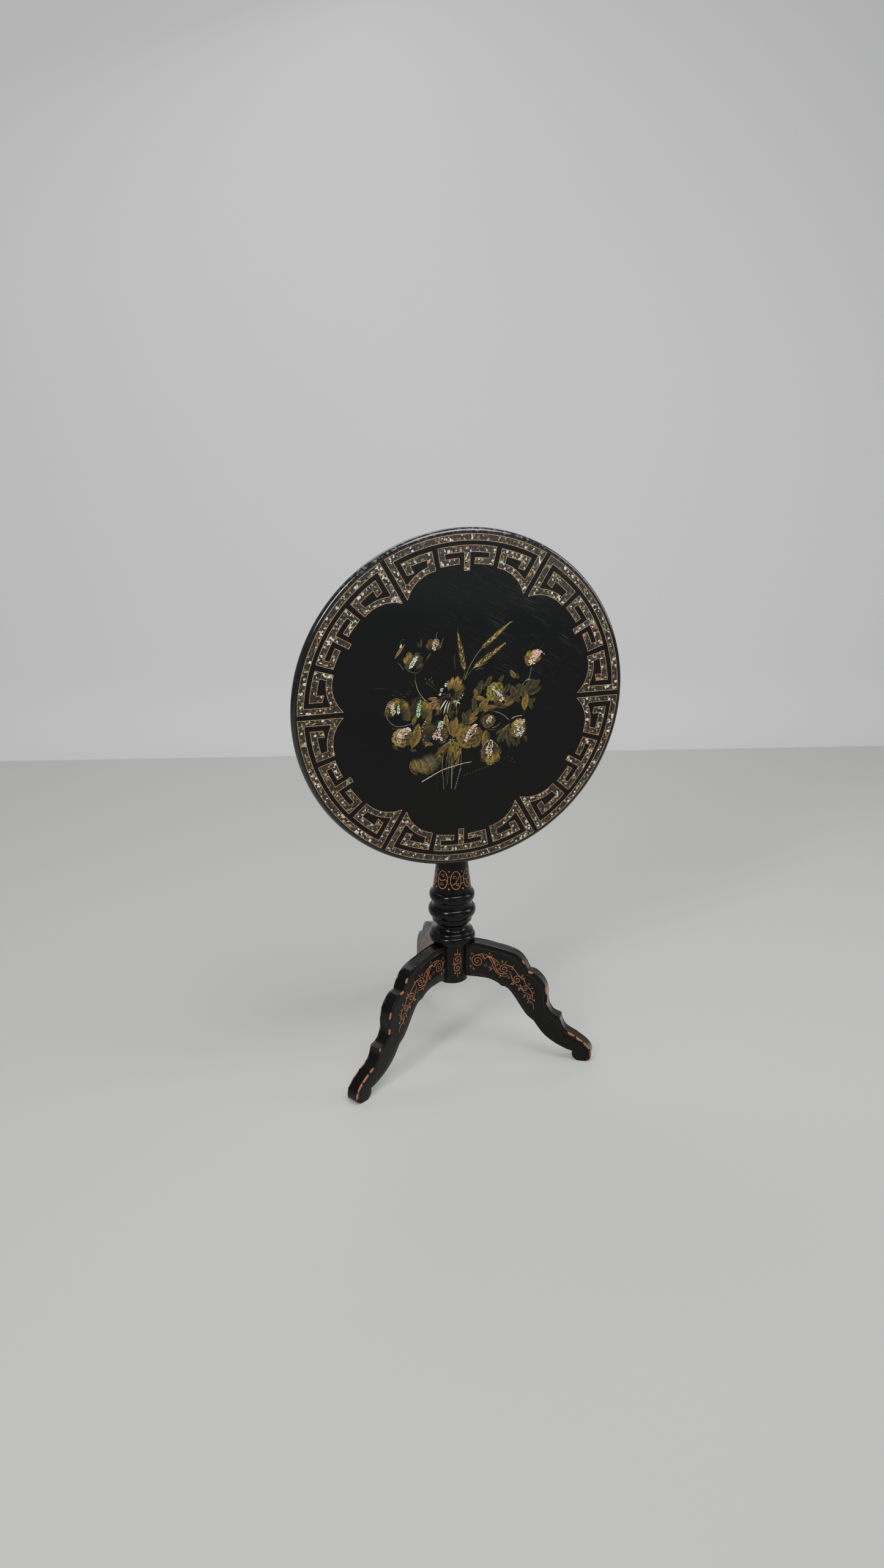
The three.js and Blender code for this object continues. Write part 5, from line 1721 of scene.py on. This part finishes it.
# ---------------------------------------------------------------- fittings


class TABLE_OT_bearers(bpy.types.Operator):
    """Finishes the bearers, the hinge block and the tenon's wedge in bare wood"""

    bl_idname = "table.bearers"
    bl_label = "Bearers and Block"

    def execute(self, context):
        wood = tuple(context.scene.table_colours.wood)
        long_grain = plain_wood("bearer_wood", wood, "Z")
        cross_grain = plain_wood("block_wood", tuple(c * 0.85 for c in wood), "X")
        for side in ("left", "right"):
            finish_node(f"bearer_{side}", long_grain, 0.9)
        finish_node("hinge_block", cross_grain, 0.7)
        finish_node("tenon_wedge", plain_wood("wedge_wood", (0.26, 0.16, 0.07), "Z"), 0.2)
        return {"FINISHED"}


class TABLE_OT_fittings(bpy.types.Operator):
    """Finishes the catch, plates, pins, spring and screws in old metal"""

    bl_idname = "table.fittings"
    bl_label = "Metal Fittings"

    def execute(self, context):
        brass = metal("old_brass", (0.62, 0.42, 0.16), (0.20, 0.125, 0.05), 0.3)
        iron = metal("dark_iron", (0.16, 0.15, 0.14), (0.055, 0.045, 0.038), 0.45)
        steel = metal("spring_wire", (0.42, 0.41, 0.39), (0.17, 0.15, 0.13), 0.32)
        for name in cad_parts:
            if name.startswith(("catch_", "strike_")) and name != "catch_spring":
                finish_node(name, brass, 0.0 if "screw" in name or name == "catch_knob" else 0.25)
            elif name == "catch_spring":
                finish_node(name, steel)
            elif name.startswith(("bearer_screw", "hub_plate", "pivot_pin")):
                finish_node(name, iron, 0.3 if name == "hub_plate" else 0.0)
        self.let_spring_close()
        return {"FINISHED"}

    def let_spring_close(self):
        """Gives the spring a mesh of its own. How far each of its points reaches up the face is worked out
        but not used, so the spring keeps its length.
        """
        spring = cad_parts["catch_spring"]
        bpy.context.view_layer.update()
        reach = [(spring.matrix_world @ vertex.co).dot(FACE_UP) for vertex in spring.data.vertices]
        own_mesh(spring)


# ---------------------------------------------------------------- stage


REACH = 7.0  # how far the floor runs to each side and to the front
WALL_AT = 2.15
WALL_HEIGHT = 4.5
COVE = 0.25  # radius of the bend between floor and wall
WALL_TURN = -15.5
CAMERA_PLACE = (-0.65184, -1.95345, 1.18371)
CAMERA_AHEAD = (0.30172, 0.90181, -0.30936)
CAMERA_UP = (0.10043, 0.29261, 0.95094)


def area_light(name, power, size, place, target, colour=(1, 1, 1)):
    data = bpy.data.lights.new(name, "AREA")
    data.energy = power
    data.shape = "RECTANGLE"
    data.size, data.size_y = size
    data.color = colour
    light = place_object(name, data)
    light.location = place
    light.rotation_euler = (Vector(target) - Vector(place)).to_track_quat("-Z", "Y").to_euler()


def stage_paint(name, colour, rough):
    material, tree, shader, where = paint(name)
    cloud = noise(tree, where, 1.4, 4.0, 0.5)
    tone = blend(tree, cloud, tuple(c * 0.96 for c in colour), colour)
    connect(tree, shader, Base_Color=tone)
    shader.inputs["Roughness"].default_value = rough
    return material


class TABLE_OT_stage(bpy.types.Operator):
    """Sets the pale floor and wall, the soft lights and the camera"""

    bl_idname = "table.stage"
    bl_label = "Stage"

    def execute(self, context):
        s = context.scene.table_stage
        self.sweep(s)
        area_light("window_softbox", s.key, (0.5, 1.3), (-2.1, -1.9, 2.3), (0, 0, 0.5))
        area_light("ceiling_softbox", s.fill * 0.5, (1.2, 0.8), (0.3, -0.8, 2.15), (0, 0, 0.7))
        area_light("front_softbox", s.fill * 0.09, (2.0, 0.7), (1.0, -3.0, 0.4), (0, 0, 0.8),
                   (0.84, 0.93, 1.0))
        area_light("back_softbox", s.fill * 0.22, (1.6, 0.8), (-0.3, 1.45, 2.75), (0, 0.1, 0.4))
        area_light("side_softbox", s.fill * 0.35, (0.7, 1.6), (2.3, -0.7, 1.5), (0, 0, 0.4))
        world = bpy.data.worlds.new("soft_surroundings")
        world.use_nodes = True
        back = world.node_tree.nodes["Background"]
        back.inputs["Color"].default_value = (0.93, 0.96, 1.0, 1.0)
        back.inputs["Strength"].default_value = s.sky
        context.scene.world = world
        self.camera(context)
        return {"FINISHED"}

    def sweep(self, s):
        """One sheet: floor, a wide cove, then wall."""
        foot = WALL_AT - COVE
        profile = [(-REACH, 0.0), (foot, 0.0)]
        for a in np.linspace(0.1, math.pi / 2, 10):
            profile.append((foot + COVE * math.sin(a), COVE - COVE * math.cos(a)))
        profile.append((WALL_AT, WALL_HEIGHT))
        verts = [(x, y, z) for y, z in profile for x in (-REACH, REACH)]
        faces = [(2 * i, 2 * i + 1, 2 * i + 3, 2 * i + 2) for i in range(len(profile) - 1)]
        mesh = bpy.data.meshes.new("sweep")
        mesh.from_pydata(verts, [], faces)
        mesh.shade_smooth()
        mesh.materials.append(stage_paint("pale_floor", tuple(s.floor), 0.55))
        mesh.materials.append(stage_paint("pale_wall", tuple(s.wall), 0.8))
        for polygon in mesh.polygons:
            polygon.material_index = 1 if polygon.center.y > foot + 0.03 else 0
        sheet = place_object("sweep", mesh)
        sheet.rotation_euler = (0, 0, math.radians(WALL_TURN))

    def camera(self, context):
        data = bpy.data.cameras.new("view_from_front")
        data.sensor_width = 36.0
        data.lens = 26.70
        camera = place_object("view_from_front", data)
        ahead = Vector(CAMERA_AHEAD).normalized()
        right = ahead.cross(Vector(CAMERA_UP)).normalized()
        over = right.cross(ahead)
        turned = Matrix((right, over, -ahead)).transposed()
        camera.matrix_world = Matrix.Translation(CAMERA_PLACE) @ turned.to_4x4()
        context.scene.camera = camera


# ---------------------------------------------------------------- panel and main


OPERATORS = (TABLE_OT_top, TABLE_OT_border, TABLE_OT_bouquet, TABLE_OT_pillar, TABLE_OT_legs,
             TABLE_OT_bearers,
             TABLE_OT_fittings, TABLE_OT_stage)
SETTINGS = {
    "table_top": TABLE_PG_top,
    "table_stand": TABLE_PG_stand,
    "table_colours": TABLE_PG_colours,
    "table_stage": TABLE_PG_stage,
}


class TABLE_PT_panel(bpy.types.Panel):
    """Lists the table's pieces and their settings"""

    bl_label = "Tilt Top Table"
    bl_idname = "TABLE_PT_panel"
    bl_space_type = "VIEW_3D"
    bl_region_type = "UI"
    bl_category = "Table"

    def draw(self, context):
        for operator in OPERATORS:
            self.layout.operator(operator.bl_idname)
        for name, group in SETTINGS.items():
            box = self.layout.box()
            for key in group.__annotations__:
                box.prop(getattr(context.scene, name), key)


def register():
    for group in SETTINGS.values():
        bpy.utils.register_class(group)
    for operator in OPERATORS:
        bpy.utils.register_class(operator)
    bpy.utils.register_class(TABLE_PT_panel)
    for name, group in SETTINGS.items():
        setattr(bpy.types.Scene, name, PointerProperty(type=group))


def unregister():
    for name in SETTINGS:
        delattr(bpy.types.Scene, name)
    bpy.utils.unregister_class(TABLE_PT_panel)
    for operator in reversed(OPERATORS):
        bpy.utils.unregister_class(operator)
    for group in reversed(list(SETTINGS.values())):
        bpy.utils.unregister_class(group)


def main():
    register()
    for operator in OPERATORS:
        getattr(bpy.ops.table, operator.bl_idname.split(".")[1])()


if __name__ == "__main__":
    main()
